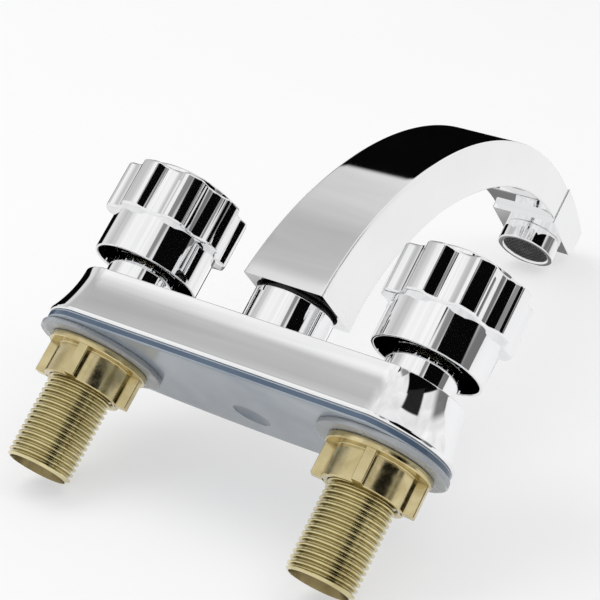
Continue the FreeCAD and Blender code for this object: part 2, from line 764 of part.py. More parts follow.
def make_index_cap(hand, side):
    """Domed cap that covers the screw."""
    body = new_body(f"{hand}_index_cap")
    bottom = CROWN_TOP - S["cap_seat_deep"]
    rim = CROWN_TOP + S["cap_rim_high"]
    crest = rim + S["cap_dome_high"]
    radius = S["cap_round"]
    sketch = new_sketch(body, "cap_profile", "XZ_Plane")
    dome = S["cap_dome_high"].value
    ball = (radius.value ** 2 + dome ** 2) / (2 * dome)
    circle = Part.Circle(FreeCAD.Vector(0, crest.value - ball, 0), FreeCAD.Vector(0, 0, 1), ball)
    rim_angle = math.atan2(rim.value - crest.value + ball, radius.value)
    sketch.addGeometry(Part.LineSegment(flat(0, crest), flat(0, bottom)), False)
    sketch.addGeometry(Part.LineSegment(flat(0, bottom), flat(radius, bottom)), False)
    sketch.addGeometry(Part.LineSegment(flat(radius, bottom), flat(radius, rim)), False)
    sketch.addGeometry(Part.ArcOfCircle(circle, rim_angle, math.pi / 2), False)
    for first, second in ((0, 1), (1, 2), (2, 3), (3, 0)):
        sketch.addConstraint(Sketcher.Constraint("Coincident", first, END, second, START))
    sketch.addConstraint(Sketcher.Constraint("PointOnObject", 3, CENTRE, V_AXIS))
    pin(sketch, 0, START, 0, crest)
    pin(sketch, 1, START, 0, bottom)
    pin(sketch, 2, START, radius, bottom)
    pin(sketch, 3, START, radius, rim)
    revolve(body, sketch, "cap")
    place(body, HALF_SPACING * side, 0, BODY_TOP)


def make_knob_screw(hand, side):
    """Pan-head screw that holds the knob on the stem."""
    body = new_body(f"{hand}_knob_screw")
    shaft = S["screw_round"]
    top = SCREW_SEAT + S["screw_head_high"]
    tip = STEM_TOP - S["screw_grip"] + S["axial_gap"]
    bevel = S["screw_head_high"] / 4
    head = S["screw_head_round"]
    turn(body, [
        (0, tip), (shaft - bevel, tip), (shaft, tip + bevel), (shaft, SCREW_SEAT), (head, SCREW_SEAT),
        (head, top - bevel), (head - bevel, top), (0, top)])
    place(body, HALF_SPACING * side, 0, BODY_TOP)


def make_spout_collar():
    """Chromed collar that the spout stands on, with a narrower band at its top."""
    body = new_body("spout_collar")
    outer = S["collar_round"]
    band = outer - S["collar_band_step"]
    inner = S["tail_round"] + S["loose_gap"]
    step = S["collar_gap"] - S["collar_band_high"]
    turn(body, [
        (inner, 0), (outer, 0), (outer, step), (band, step), (band, COLLAR_TOP), (inner, COLLAR_TOP)])
    place(body, 0, -S["spout_setback"], BODY_TOP)


def make_slip_ring():
    """Plastic ring between the collar and the spout."""
    body = new_body("spout_slip_ring")
    outer = S["collar_round"] - S["collar_band_step"] - S["loose_gap"]
    inner = S["tail_round"] + S["loose_gap"]
    top = COLLAR_TOP + S["slip_ring_thick"]
    turn(body, [(inner, COLLAR_TOP), (outer, COLLAR_TOP), (outer, top), (inner, top)])
    place(body, 0, -S["spout_setback"], BODY_TOP)


def make_spout_tail():
    """Brass tube that plugs into the body, with two seal grooves, a clip groove and ports."""
    body = new_body("spout_tail")
    outer = S["tail_round"]
    groove = outer - S["tail_groove_deep"]
    bore = outer - S["tail_wall"]
    groove_half = S["seal_half"] + S["slip_gap"]
    profile = [(0, TAIL_BOTTOM), (outer, TAIL_BOTTOM), (outer, CLIP_LOW - S["slip_gap"]),
               (groove, CLIP_LOW - S["slip_gap"]), (groove, CLIP_HIGH + S["slip_gap"]),
               (outer, CLIP_HIGH + S["slip_gap"])]
    for height in TAIL_SEALS:
        low = height - groove_half
        high = height + groove_half
        profile += [(outer, low), (groove, low), (groove, high), (outer, high)]
    floor = DUCT_BELOW_TOP - S["duct_bore_round"]
    profile += [(outer, TAIL_TOP), (bore, TAIL_TOP), (bore, floor), (0, floor)]
    turn(body, profile)
    ports = new_sketch(body, "port_circle", "YZ_Plane")
    add_circle(ports, S["duct_bore_round"] - S["slip_gap"], 0, DUCT_BELOW_TOP)
    pocket(body, ports, outer * 4, "ports", middle=True)
    place(body, 0, -S["spout_setback"], BODY_TOP)


def make_spout_clip():
    """Open ring that sits in the tail's groove, under the spout boss."""
    body = new_body("spout_clip")
    inner = S["tail_round"] - S["tail_groove_deep"] + S["slip_gap"]
    outer = S["tail_round"] + S["clip_gap"] / 2 - S["loose_gap"]
    turn(body, [(inner, CLIP_LOW), (outer, CLIP_LOW), (outer, CLIP_HIGH), (inner, CLIP_HIGH)])
    gap = new_sketch(body, "gap_outline", lift=CLIP_HIGH)
    half = S["clip_gap"] / 2
    add_rectangle(gap, -half, 0, half, outer * 2)
    pocket(body, gap, S["clip_thick"], "gap")
    place(body, 0, -S["spout_setback"], BODY_TOP)


def arch_section(body, name, index, inset):
    """Rectangle across the arch at one of its stations, drawn in where inset is given."""
    share = index / (ARCH_STATIONS - 1)
    angle = share * math.pi / 2
    sine = math.sin(angle)
    forward = (1 - math.cos(angle)) ** ARCH_FULLNESS
    arch_forward = S["spout_reach"] - S["head_back"]
    if index == 0:
        tilt = sized(0)
    elif index == ARCH_STATIONS - 1:
        tilt = sized(90)
    else:
        steepness = ARCH_FULLNESS * (1 - math.cos(angle)) ** (ARCH_FULLNESS - 1) * math.tan(angle)
        tilt = arc_tangent(arch_forward * steepness / S["arch_rise"])
    depth = S["arch_depth_base"] + (S["arch_depth_tip"] - S["arch_depth_base"]) * share ** ARCH_THINNING
    extra = (S["arch_width_base"] - S["arch_width_tip"]) * (1 - share) ** ARCH_NARROWING
    width = S["arch_width_tip"] + extra
    lift = S["collar_gap"] + S["arch_rise"] * sine
    sketch = new_sketch(body, name, lift=lift, along=-(arch_forward * forward), tilt=tilt)
    if inset is None:
        add_rounded_rectangle(sketch, width / 2, depth / 2, S["arch_round"])
    else:
        half_width = width / 2 - inset
        half_depth = depth / 2 - inset
        add_rectangle(sketch, -half_width, -half_depth, half_width, half_depth)
    return sketch


def arch_loft(body, name, kind, stations, inset=None):
    """Smooth loft through the arch's sections."""
    sections = [arch_section(body, f"{name}_{index}", index, inset) for index in stations]
    loft = body.newObject(f"PartDesign::{kind}", name)
    loft.Profile = sections[0]
    loft.Sections = sections[1:]
    loft.Ruled = False
    return loft


def head_outline(sketch, back, nose):
    """Side view of the head: level below, bevelled at the nose and arched on top."""
    bevel = S["head_chamfer"]
    nose_top = HEAD_TOP - S["head_drop"]
    corners = [(back, HEAD_TOP), (back, HEAD_BOTTOM), (nose + bevel, HEAD_BOTTOM),
               (nose, HEAD_BOTTOM + bevel), (nose, nose_top)]
    for start, end in zip(corners, corners[1:]):
        sketch.addGeometry(Part.LineSegment(flat(*start), flat(*end)), False)
    run = (back - nose).value
    crown_radius = (run ** 2 + S["head_drop"].value ** 2) / (2 * S["head_drop"].value)
    centre = FreeCAD.Vector(back.value, HEAD_TOP.value - crown_radius, 0)
    circle = Part.Circle(centre, FreeCAD.Vector(0, 0, 1), crown_radius)
    lean = math.asin(run / crown_radius)
    sketch.addGeometry(Part.ArcOfCircle(circle, math.pi / 2, math.pi / 2 + lean), False)
    last = len(corners) - 1
    for index, corner in enumerate(corners):
        pin(sketch, min(index, last - 1), START if index < last else END, *corner)
    for index in range(1, last):
        sketch.addConstraint(Sketcher.Constraint("Coincident", index - 1, END, index, START))
    sketch.addConstraint(Sketcher.Constraint("Coincident", last, START, 0, START))
    sketch.addConstraint(Sketcher.Constraint("Coincident", last, END, last - 1, END))
    constrain(sketch, back, "DistanceX", ORIGIN, START, last, CENTRE)


def make_spout_shell():
    """Arched rectangular spout that thins towards a square head."""
    body = new_body("spout_shell")
    arch_loft(body, "arch", "AdditiveLoft", range(ARCH_STATIONS))
    head_sketch = new_sketch(body, "head_outline", "YZ_Plane")
    back = -(S["spout_reach"] - S["head_back"])
    head_outline(head_sketch, back, -(S["spout_reach"] + S["head_nose"]))
    pad(body, head_sketch, S["arch_width_tip"] + S["head_step"] * 2, "head", middle=True)

    recess = new_sketch(body, "recess_circle", lift=S["collar_gap"])
    add_circle(recess, S["recess_round"])
    pocket(body, recess, S["recess_deep"], "recess", up=True)
    socket = new_sketch(body, "tail_socket_circle", lift=S["collar_gap"])
    add_circle(socket, S["tail_round"] + S["slip_gap"])
    pocket(body, socket, S["recess_deep"] + S["tail_socket_deep"], "tail_socket", up=True)
    outlet = new_sketch(body, "outlet_circle", lift=HEAD_BOTTOM)
    add_circle(outlet, S["aerator_thread_round"] + S["slip_gap"], 0, -S["spout_reach"])
    pocket(body, outlet, OUTLET_DEEP, "outlet", up=True)
    arch_loft(body, "waterway", "SubtractiveLoft", range(1, ARCH_STATIONS), S["spout_wall"])
    link = new_sketch(body, "link_outline", "YZ_Plane")
    half_bore = S["arch_depth_tip"] / 2 - S["spout_wall"]
    middle = S["collar_gap"] + S["arch_rise"]
    add_rectangle(link, back + S["slip_gap"], middle - half_bore, -S["spout_reach"], middle + half_bore)
    pocket(body, link, S["arch_width_tip"] - S["spout_wall"] * 2, "link", middle=True)
    place(body, 0, -S["spout_setback"], BODY_TOP)


def make_aerator_housing():
    """Round outlet barrel with a threaded upper part inside the head."""
    body = new_body("aerator_housing")
    outer = S["aerator_round"]
    thread = S["aerator_thread_round"]
    inner = thread - S["aerator_wall"]
    low = -S["aerator_proud"]
    high = S["aerator_thread_high"]
    bevel = S["screen_inset"] / 2
    turn(body, [
        (inner + bevel, low), (outer - bevel, low), (outer, low + bevel), (outer, 0), (thread, 0),
        (thread, high), (inner, high), (inner, low + bevel)])
    place(body, 0, OUTLET_BACK, BODY_TOP + HEAD_BOTTOM)


def make_aerator_screen():
    """Perforated insert with a rim, just inside the outlet."""
    body = new_body("aerator_screen")
    outer = S["aerator_thread_round"] - S["aerator_wall"] - S["slip_gap"]
    inner = outer - S["screen_inset"]
    low = S["screen_inset"] - S["aerator_proud"]
    plate_top = low + S["screen_thick"]
    high = -S["screen_inset"]
    turn(body, [(0, low), (outer, low), (outer, high), (inner, high), (inner, plate_top), (0, plate_top)])
    holes = new_sketch(body, "hole_circles", lift=low)
    add_circle(holes, S["screen_hole_round"])
    for ring in range(1, SCREEN_RINGS + 1):
        count = 6 * ring
        for number in range(count):
            angle = 2 * math.pi * (number + 0.5) / count
            out = S["screen_hole_pitch"] * ring
            add_circle(holes, S["screen_hole_round"], out * math.cos(angle), out * math.sin(angle))
    pocket(body, holes, S["screen_thick"], "holes", up=True)
    place(body, 0, OUTLET_BACK, BODY_TOP + HEAD_BOTTOM)


def make_aerator_washer():
    """Flat rubber washer between the aerator and the head."""
    body = new_body("aerator_washer")
    outer = S["aerator_thread_round"] - S["slip_gap"]
    inner = outer - S["aerator_wall"] * 2
    low = S["aerator_thread_high"]
    high = low + S["aerator_washer_thick"]
    turn(body, [(inner, low), (outer, low), (outer, high), (inner, high)])
    place(body, 0, OUTLET_BACK, BODY_TOP + HEAD_BOTTOM)


def check_and_write():
    """Stop on any failed object or bad shape, then write each body to its own file."""
    DOC.recompute()
    for item in DOC.Objects:
        if "Invalid" in item.State or "Error" in item.State:
            raise RuntimeError(f"{item.Name} failed: {item.State}")
    bodies = [item for item in DOC.Objects if item.TypeId == "PartDesign::Body"]
    for body in bodies:
        if body.Shape.isNull() or not body.Shape.isValid():
            raise RuntimeError(f"{body.Label} has no valid shape")
    os.makedirs("parts", exist_ok=True)
    for body in bodies:
        body.Shape.exportStep(f"parts/{body.Label}.step")
        print(f"{body.Label}: {len(body.Shape.Solids)} solid, {body.Shape.Volume:.1f} mm3")


DOC = FreeCAD.newDocument("faucet")
S = make_sheet(DOC)
DOC.recompute()

SIDES = {"left": -1, "right": 1}
FULL_CIRCLE = 2 * math.pi

# Heights and places that several pieces share.
HALF_SPACING = S["handle_spacing"] / 2
BODY_HIGH = S["lip_high"] + S["cove_high"]
BODY_TOP = S["plate_thick"] + BODY_HIGH
FOOT_HIGH = S["shank_socket_deep"] + S["valve_foot_floor"]
DUCT_BELOW_TOP = S["duct_level"] + S["plate_thick"] - BODY_TOP
DISC_ROUND = S["chamber_round"] - S["slip_gap"] - S["shell_wall"] - S["slip_gap"]
SEAL_TOP = S["seal_thick"] - S["chamber_deep"]
FIXED_DISC_TOP = SEAL_TOP + S["disc_thick"]
MOVING_DISC_TOP = FIXED_DISC_TOP + S["disc_thick"]
SHOULDER = MOVING_DISC_TOP + S["shell_wall"]
STEM_SHAFT_TOP = S["shell_neck_high"] + S["axial_gap"]
STEM_TOP = STEM_SHAFT_TOP + S["stem_square_high"]
SEAL_RING_ROUND = S["stem_round"] - S["seal_half"]
BOSS_BOTTOM = STEM_SHAFT_TOP + S["slip_gap"]
SOCKET_TOP = STEM_TOP + S["axial_gap"]
SCREW_SEAT = SOCKET_TOP + S["shell_wall"]
CROWN_BOTTOM = S["skirt_gap"] + S["skirt_high"]
CROWN_TOP = CROWN_BOTTOM + S["crown_high"]
COLLAR_TOP = S["collar_gap"] + S["recess_deep"] - S["axial_gap"] - S["slip_ring_thick"]
CLIP_ROOM = S["clip_thick"] * 2 + S["body_wall"] / 2
CLIP_HIGH = CLIP_ROOM - BODY_HIGH - S["axial_gap"]
CLIP_LOW = CLIP_HIGH - S["clip_thick"]
TAIL_BOTTOM = CLIP_LOW - S["clip_thick"]
TAIL_TOP = S["collar_gap"] + S["recess_deep"] + S["tail_socket_deep"]
TAIL_SEALS = (DUCT_BELOW_TOP - S["duct_bore_round"] * 1.5, DUCT_BELOW_TOP + S["duct_bore_round"] * 1.5)
TAIL_SEAL_ROUND = S["tail_round"] - S["seal_half"]
HEAD_TOP = S["collar_gap"] + S["arch_rise"] + S["arch_depth_tip"] / 2 + S["head_step"]
HEAD_BOTTOM = HEAD_TOP - S["head_high"]
OUTLET_DEEP = S["aerator_thread_high"] + S["aerator_washer_thick"]
OUTLET_BACK = -(S["spout_setback"] + S["spout_reach"])

make_base_plate()
make_body_casting()
for hand, side in SIDES.items():
    make_inlet_socket(hand, side)
    make_inlet_shank(hand, side)
    make_washer(hand, side)
    make_lock_nut(hand, side)
    make_cartridge_shell(hand, side)
    make_seat_seal(hand, side)
    make_fixed_disc(hand, side)
    make_moving_disc(hand, side)
    make_stem(hand, side)
    stem_seal = make_ring(
        f"{hand}_stem_seal", S["seal_half"], SEAL_RING_ROUND, [S["stem_seal_up"]])
    place(stem_seal, HALF_SPACING * side, 0, BODY_TOP)
    make_bonnet(hand, side)
    make_knob(hand, side)
    make_index_cap(hand, side)
    make_knob_screw(hand, side)
make_spout_collar()
make_slip_ring()
make_spout_tail()
tail_seals = make_ring("spout_seals", S["seal_half"], TAIL_SEAL_ROUND, TAIL_SEALS)
place(tail_seals, 0, -S["spout_setback"], BODY_TOP)
make_spout_clip()
make_spout_shell()
make_aerator_housing()
make_aerator_screen()
make_aerator_washer()
check_and_write()
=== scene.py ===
"""Looks of a two-handle deck faucet: fine surfaces, threads, materials, floor, light and camera."""
import json
import math
from typing import NamedTuple

import bmesh
import bpy
from mathutils import Matrix, Vector


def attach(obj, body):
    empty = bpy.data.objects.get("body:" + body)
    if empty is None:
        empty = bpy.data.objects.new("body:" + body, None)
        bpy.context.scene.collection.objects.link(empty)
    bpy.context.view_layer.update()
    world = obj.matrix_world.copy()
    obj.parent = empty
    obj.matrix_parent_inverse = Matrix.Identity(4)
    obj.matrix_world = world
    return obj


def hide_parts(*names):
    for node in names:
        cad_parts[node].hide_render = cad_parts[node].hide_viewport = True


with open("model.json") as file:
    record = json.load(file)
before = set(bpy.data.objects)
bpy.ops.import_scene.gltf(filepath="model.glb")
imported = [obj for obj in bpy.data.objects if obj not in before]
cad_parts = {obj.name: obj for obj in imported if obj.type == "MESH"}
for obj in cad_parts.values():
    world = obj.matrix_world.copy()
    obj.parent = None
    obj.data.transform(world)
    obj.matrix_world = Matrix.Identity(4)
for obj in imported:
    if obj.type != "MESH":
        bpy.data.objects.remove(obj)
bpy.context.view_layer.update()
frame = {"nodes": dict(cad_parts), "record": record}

MM = 0.001
FULL_CIRCLE = 2 * math.pi
SIDES = {"left": -1, "right": 1}

# How finely round forms are divided.
ROUND_STEPS = 120
EDGE_STEPS = 4
LIP_STEPS = 8
COVE_STEPS = 26
PLAN_END_STEPS = 44
PLAN_BACK_STEPS = 40
PLAN_FRONT_STEPS = 110
DIMPLE_STEPS = 12
DIMPLE_SIDES = 64
THREAD_ROWS = 14
FLUTE_STEPS = 12
FILLET_STEPS = 8
LOBE_STEPS = 5
CROWN_EDGE_STEPS = 5
DOME_STEPS = 12
ARCH_STATIONS = 96
ARCH_EDGE_STEPS = 5
ARCH_SIDE_STEPS = 14
HEAD_CROWN_STEPS = 24
HEAD_EDGE_STEPS = 4
WIRE_SIDES = 6
WIRE_STEPS = 4

# A corner's curve takes at most this share of each line beside it.
CORNER_REACH = 0.45

# Surfaces that meet at a wider angle than this show an edge.
CREASE_ANGLE = math.radians(32)
THREAD_CREASE_ANGLE = math.radians(60)

# Sizes are in millimetres and turns in degrees. Main sizes are the solids' own. Fine edges are added.
HALF_SPACING = 50.8
SPOUT_BACK = -5.2
BODY_TOP = 19.5
SMALL_EDGE = 0.35

PLATE_THICK = 2.5
PLATE_INSET = 0.4
PLATE_EDGE = 0.55
PLATE_RIM = 4.0
BACK_EDGE = 22.7
FRONT_EDGE = 28.4
END_ROUND = 24.6
END_OUT = 45.8
END_BACK = -0.9
DIMPLE_ROUND = 6.2
DIMPLE_DEEP = 1.8
DIMPLE_BACK = -12.0

LIP_HIGH = 1.2
LIP_ROUND = 0.5
LIP_FLAT = 0.1
LIP_CORNER = 0.3
COVE_HIGH = 15.8
COVE_FLARE = 3.8
COVE_POWER = 2
TOP_EDGE = 0.7
TOP_EDGE_RUN = 2.0
BODY_WALL = 2.4
BODY_ROOF = 2.8
FOOT_HIGH = 5.5
VALVE_BOSS_ROUND = 9.3
SPOUT_BOSS_ROUND = 14.4
BOSS_LAP = 1.0
DUCT_HALF = 5.0
DUCT_RAISE = 1.0

SHANK_ROUND = 10.4775
SHANK_RELIEVED = 10.2275
SHANK_BORE = 8.3
SHANK_BELOW = 41.3
SHANK_TOP = 7.0
SHANK_TOP_STEP = 1.0
SHANK_CHAMFER = 0.9
SHANK_CHAMFER_SLOPE = 1.25
SHANK_MOUTH = 9.2
SHANK_MOUTH_DEEP = 4.0
THREAD_PITCH = 25.4 / 14
THREAD_DEEP = 1.16
THREAD_STEEPNESS = 1.35
THREAD_ROOT = 0.175
THREAD_RUN_OUT = 0.2
WASHER_ROUND = 20.5
WASHER_THICK = 1.8
WASHER_PLAY = 0.4
WASHER_EDGE = 0.45
NUT_HOLE = 10.5375
NUT_HOLE_CHAMFER = 0.6
NUT_FLANGE_ROUND = 16.3
NUT_FLANGE_THICK = 2.2
NUT_HUB_ROUND = 12.7
NUT_HIGH = 12.3
NUT_EDGE = 0.45
NUT_LUG_ROUND = 15.9
NUT_LUG_THICK = 3.4
NUT_LUG_ROOT = 1.2
NUT_LUG_LAP = 0.3
NUT_LUG_CORNER = 0.5
NUT_LUG_EDGE_MIDDLE = 0.3
NUT_LUGS = 4
NUT_LUG_TURN = 15.0

BONNET_ROUND = 11.1
BONNET_HIGH = 10.0
BONNET_WALL = 0.9
BONNET_HOLE = 7.6
BONNET_EDGE = 0.6
SKIRT_ROUND = 17.4
SKIRT_WALL = 1.2
SKIRT_GAP = 8.3
SKIRT_HIGH = 13.2
SKIRT_BEVEL_HIGH = 3.0
SKIRT_RIM = 0.9
SKIRT_EDGE = 0.25
CROWN_ROUND = 20.9
CROWN_HIGH = 16.2
CROWN_EDGE = 0.8
FLUTE_ROUND = 7.0
FLUTE_DEEP = 2.7
LOBE_FILLET = 2.2
KNOB_LOBES = 8
KNOB_LOBE_TURN = 12.0
KNOB_ROOF = 5.0
KNOB_CENTRE = 0.5
CAP_ROUND = 16.0
CAP_SEAT_DEEP = 2.4
CAP_SEAT_PLAY = 0.1
CAP_RIM_HIGH = 1.9
CAP_RIM_WIDE = 1.0
CAP_DOME_HIGH = 1.8
CAP_EDGE = 0.45
CAP_BEVEL_HIGH = 0.5
CAP_BEVEL_WIDE = 0.3
CAP_CENTRE = 0.2

# The collar's band, the ring above it and the recess around both are smaller than in the solids, so that
# they stay inside the spout's walls.
COLLAR_ROUND = 13.1
COLLAR_BAND_STEP = 1.1
COLLAR_BAND_HIGH = 1.7
COLLAR_BAND_BEVEL = 0.3
COLLAR_EDGE = 0.3
COLLAR_GAP = 16.4
COLLAR_TOP = 18.8
COLLAR_HOLE = 9.4
SLIP_RING_ROUND = 11.2
SLIP_RING_THICK = 0.8
RECESS_ROUND = 13.5
RECESS_DEEP = 3.5
RECESS_TAPER = 0.86
RECESS_RIM = 0.05
SOCKET_SHARE = 0.67

SPOUT_REACH = 127.0
ARCH_RISE = 105.6
ARCH_DEPTH_BASE = 24.8
ARCH_DEPTH_TIP = 12.6
ARCH_WIDTH_BASE = 28.4
ARCH_WIDTH_TIP = 24.5
ARCH_EDGE = 0.7
ARCH_FULLNESS = 0.873
ARCH_THINNING = 0.75
ARCH_NARROWING = 3
ARCH_CROWDING = 1.15
HEAD_BACK = 15.0
HEAD_NOSE = 12.0
HEAD_HIGH = 14.8
HEAD_DROP = 3.6
HEAD_STEP = 0.35
HEAD_CHAMFER = 2.4
HEAD_EDGE = 0.5
AERATOR_ROUND = 10.9
AERATOR_BORE = 8.7
AERATOR_PROUD = 7.2
AERATOR_BEVEL_HIGH = 0.4
AERATOR_BEVEL_WIDE = 0.5
AERATOR_EDGE = 0.4
SCREEN_ROUND = 8.6
SCREEN_INSET = 0.9
SCREEN_WALL = 0.2
SCREEN_WALL_HIGH = 3.0
SCREEN_WIRES = 17
WIRE_SHARE = 0.2

CROWN_BOTTOM = BODY_TOP + SKIRT_GAP + SKIRT_HIGH
CROWN_TOP = CROWN_BOTTOM + CROWN_HIGH
CAP_SEAT = CROWN_TOP - CAP_SEAT_DEEP
HEAD_TOP = BODY_TOP + COLLAR_GAP + ARCH_RISE + ARCH_DEPTH_TIP / 2 + HEAD_STEP
HEAD_BOTTOM = HEAD_TOP - HEAD_HIGH
AERATOR_LOW = HEAD_BOTTOM - AERATOR_PROUD
OUTLET_BACK = SPOUT_BACK - SPOUT_REACH


# Materials

# Least and most roughness of a material, as shares of its mean.
CLEAR_ROUGH_LOW = 0.8
CLEAR_ROUGH_HIGH = 1.25
PLAIN_ROUGH_LOW = 0.85
PLAIN_ROUGH_HIGH = 1.15


class Tree:
    """A node tree, with short calls for the nodes used here."""

    def __init__(self, tree, place):
        self.tree = tree
        self.tree.nodes.clear()
        self.place = self.add("ShaderNodeTexCoord").outputs[place]

    def add(self, kind, **settings):
        node = self.tree.nodes.new(kind)
        for key, value in settings.items():
            setattr(node, key, value)
        return node

    def link(self, start, end):
        self.tree.links.new(start, end)

    def feed(self, value, socket):
        """Give a socket a plain number or another node's output."""
        if isinstance(value, (int, float)):
            socket.default_value = value
        else:
            self.link(value, socket)

    def maths(self, operation, *values):
        node = self.add("ShaderNodeMath", operation=operation)
        for value, socket in zip(values, node.inputs):
            self.feed(value, socket)
        return node.outputs["Value"]

    def mixed(self, share, first, second):
        """Blend of two shaders, all second where the share is one."""
        node = self.add("ShaderNodeMixShader")
        for value, socket in zip((share, first, second), node.inputs):
            self.link(value, socket)
        return node.outputs["Shader"]

    def noise(self, scale, detail=3.0, distortion=0.0):
        node = self.add("ShaderNodeTexNoise")
        node.inputs["Scale"].default_value = scale
        node.inputs["Detail"].default_value = detail
        node.inputs["Distortion"].default_value = distortion
        self.link(self.place, node.inputs["Vector"])
        return node.outputs["Fac"]

    def ranged(self, value, low, high, start=0.3, end=0.7, **settings):
        """Spread the values from start to end over the range from low to high."""
        node = self.add("ShaderNodeMapRange", **settings)
        for key, number in (("From Min", start), ("From Max", end), ("To Min", low), ("To Max", high)):
            node.inputs[key].default_value = number
        self.link(value, node.inputs["Value"])
        return node.outputs["Result"]


class Nodes(Tree):
    """The tree of a new material, with its main shader."""

    def __init__(self, name):
        self.material = bpy.data.materials.new(name)
        self.material.use_nodes = True
        super().__init__(self.material.node_tree, "Object")
        self.output = self.add("ShaderNodeOutputMaterial")
        self.shader = self.add("ShaderNodeBsdfPrincipled")
        self.link(self.shader.outputs["BSDF"], self.output.inputs["Surface"])

    def set(self, **values):
        for key, value in values.items():
            self.shader.inputs[key.replace("_", " ")].default_value = value

    def drive(self, value, socket):
        self.link(value, self.shader.inputs[socket])

    def tinted(self, value, dark, light, start=0.3, end=0.7):
        """Colour that runs from dark to light with a value."""
        node = self.add("ShaderNodeValToRGB")
        first, last = node.color_ramp.elements
        first.position = start
        first.color = (*dark, 1)
        last.position = end
        last.color = (*light, 1)
        self.link(value, node.inputs["Fac"])
        return node.outputs["Color"]

    def shaded(self, colour, reach, darkest):
        """Colour darkened with painted shade in grooves and corners narrower than the reach."""
        hollow = self.add("ShaderNodeAmbientOcclusion", samples=6)
        hollow.inputs["Distance"].default_value = reach
        node = self.add("ShaderNodeVectorMath", operation="SCALE")
        self.link(colour, node.inputs[0])
        self.link(self.ranged(hollow.outputs["AO"], darkest, 1.0, end=0.8), node.inputs["Scale"])
        return node.outputs["Vector"]

    def bump(self, height, distance, strength=0.5):
        node = self.add("ShaderNodeBump")
        node.inputs["Distance"].default_value = distance
        node.inputs["Strength"].default_value = strength
        self.link(height, node.inputs["Height"])
        self.drive(node.outputs["Normal"], "Normal")


def chrome_material(name, dark, light, rough):
    """Plated metal with faint smears and a very slight ripple."""
    nodes = Nodes(name)
    nodes.set(Metallic=1.0)
    smears = nodes.noise(scale=70.0, detail=4.0, distortion=0.6)
    nodes.drive(nodes.ranged(smears, *rough), "Roughness")
    nodes.drive(nodes.tinted(nodes.noise(scale=38.0), dark, light), "Base Color")
    nodes.bump(nodes.noise(scale=55.0, detail=1.0), distance=0.00002, strength=0.2)
    return nodes.material


def brass_material(name, dark, light, rough, depth):
    """Machined or cast brass, dulled unevenly, with painted shade darkening its grooves."""
    nodes = Nodes(name)
    nodes.set(Metallic=1.0)
    patches = nodes.noise(scale=90.0, detail=5.0, distortion=0.8)
    # Ambient occlusion darkens the brass colour in grooves and corners: painted shade.
    patchy_with_painted_shade = nodes.shaded(nodes.tinted(patches, dark, light), reach=0.0014, darkest=0.55)
    nodes.drive(patchy_with_painted_shade, "Base Color")
    marks = nodes.noise(scale=420.0)
    nodes.drive(nodes.ranged(marks, *rough), "Roughness")
    nodes.bump(marks, depth)
    return nodes.material


def clear_material(name, dark, light, rough, transmission, mottle):
    """Milky moulded plastic, cloudy in places."""
    nodes = Nodes(name)
    nodes.set(IOR=1.46, Transmission_Weight=transmission, Specular_IOR_Level=0.5)
    clouds = nodes.noise(mottle, distortion=1.2)
    nodes.drive(nodes.tinted(clouds, dark, light), "Base Color")
    gloss = nodes.ranged(nodes.noise(scale=160.0), rough * CLEAR_ROUGH_LOW, rough * CLEAR_ROUGH_HIGH)
    nodes.drive(gloss, "Roughness")
    nodes.bump(nodes.noise(scale=30.0, detail=1.0), distance=0.00006, strength=0.3)
    return nodes.material


def plain_material(name, dark, light, rough, metallic=0.0):
    """Even material with a fine grain in its colour, gloss and surface."""
    nodes = Nodes(name)
    nodes.set(Metallic=metallic)
    grain = nodes.noise(scale=240.0, detail=4.0)
    nodes.drive(nodes.tinted(grain, dark, light), "Base Color")
    nodes.drive(nodes.ranged(grain, rough * PLAIN_ROUGH_LOW, rough * PLAIN_ROUGH_HIGH), "Roughness")
    nodes.bump(grain, distance=0.00002)
    return nodes.material


def grey(level, tint=0.0):
    """Neutral colour, cooler where tint is above nought."""
    return (level * (1 - tint), level, level * (1 + tint))


CHROME = chrome_material("chrome", grey(0.90, 0.004), grey(0.94, 0.004), rough=(0.018, 0.05))
# Near-black metal for the parts in the recess under the spout: painted shade.
PAINTED_SHADE_METAL = chrome_material("painted_shade_metal", grey(0.02), grey(0.06), rough=(0.2, 0.35))
CAST_CHROME = chrome_material("cast_chrome", grey(0.42, 0.02), grey(0.55, 0.02), rough=(0.25, 0.4))
BRASS = brass_material("brass", (0.56, 0.48, 0.25), (0.80, 0.72, 0.43), rough=(0.10, 0.2),
                       depth=0.00001)
CAST_BRASS = brass_material("cast_brass", (0.48, 0.39, 0.19), (0.72, 0.62, 0.36), rough=(0.12, 0.26),
                            depth=0.00003)
# Darker copy of brass for the inside of the shank bores: painted shade.
SHADED_BORE_BRASS = brass_material("bore_brass_painted_shade", (0.16, 0.12, 0.05), (0.34, 0.28, 0.14), rough=(0.2, 0.32),
                            depth=0.00003)
STEEL = plain_material("steel", grey(0.45), grey(0.6), rough=0.3, metallic=1.0)
RUBBER = plain_material("rubber", grey(0.015), grey(0.035), rough=0.7)
CERAMIC = plain_material("ceramic", (0.82, 0.80, 0.75), (0.88, 0.87, 0.83), rough=0.22)
WHITE_PLASTIC = plain_material("white_plastic", grey(0.72), grey(0.8), rough=0.4)
DARK_PLASTIC = plain_material("dark_plastic", grey(0.02), grey(0.05), rough=0.42)
CLEAR_PLASTIC = clear_material("clear_plastic", (0.30, 0.36, 0.44), (0.58, 0.63, 0.68), rough=0.2,
                               transmission=0.35, mottle=14.0)
# Darker copy of the plate's plastic for its upright side: painted shade.
SHADED_PLASTIC_EDGE = clear_material("plastic_edge_painted_shade", (0.06, 0.10, 0.16), (0.11, 0.16, 0.24), rough=0.14,
                              transmission=0.3, mottle=26.0)
CLEAR_WASHER = clear_material("clear_washer", (0.60, 0.64, 0.69), (0.74, 0.77, 0.80), rough=0.3,
                              transmission=0.55, mottle=40.0)
WIRE = plain_material("screen_wire", grey(0.05), grey(0.12), rough=0.35, metallic=0.6)

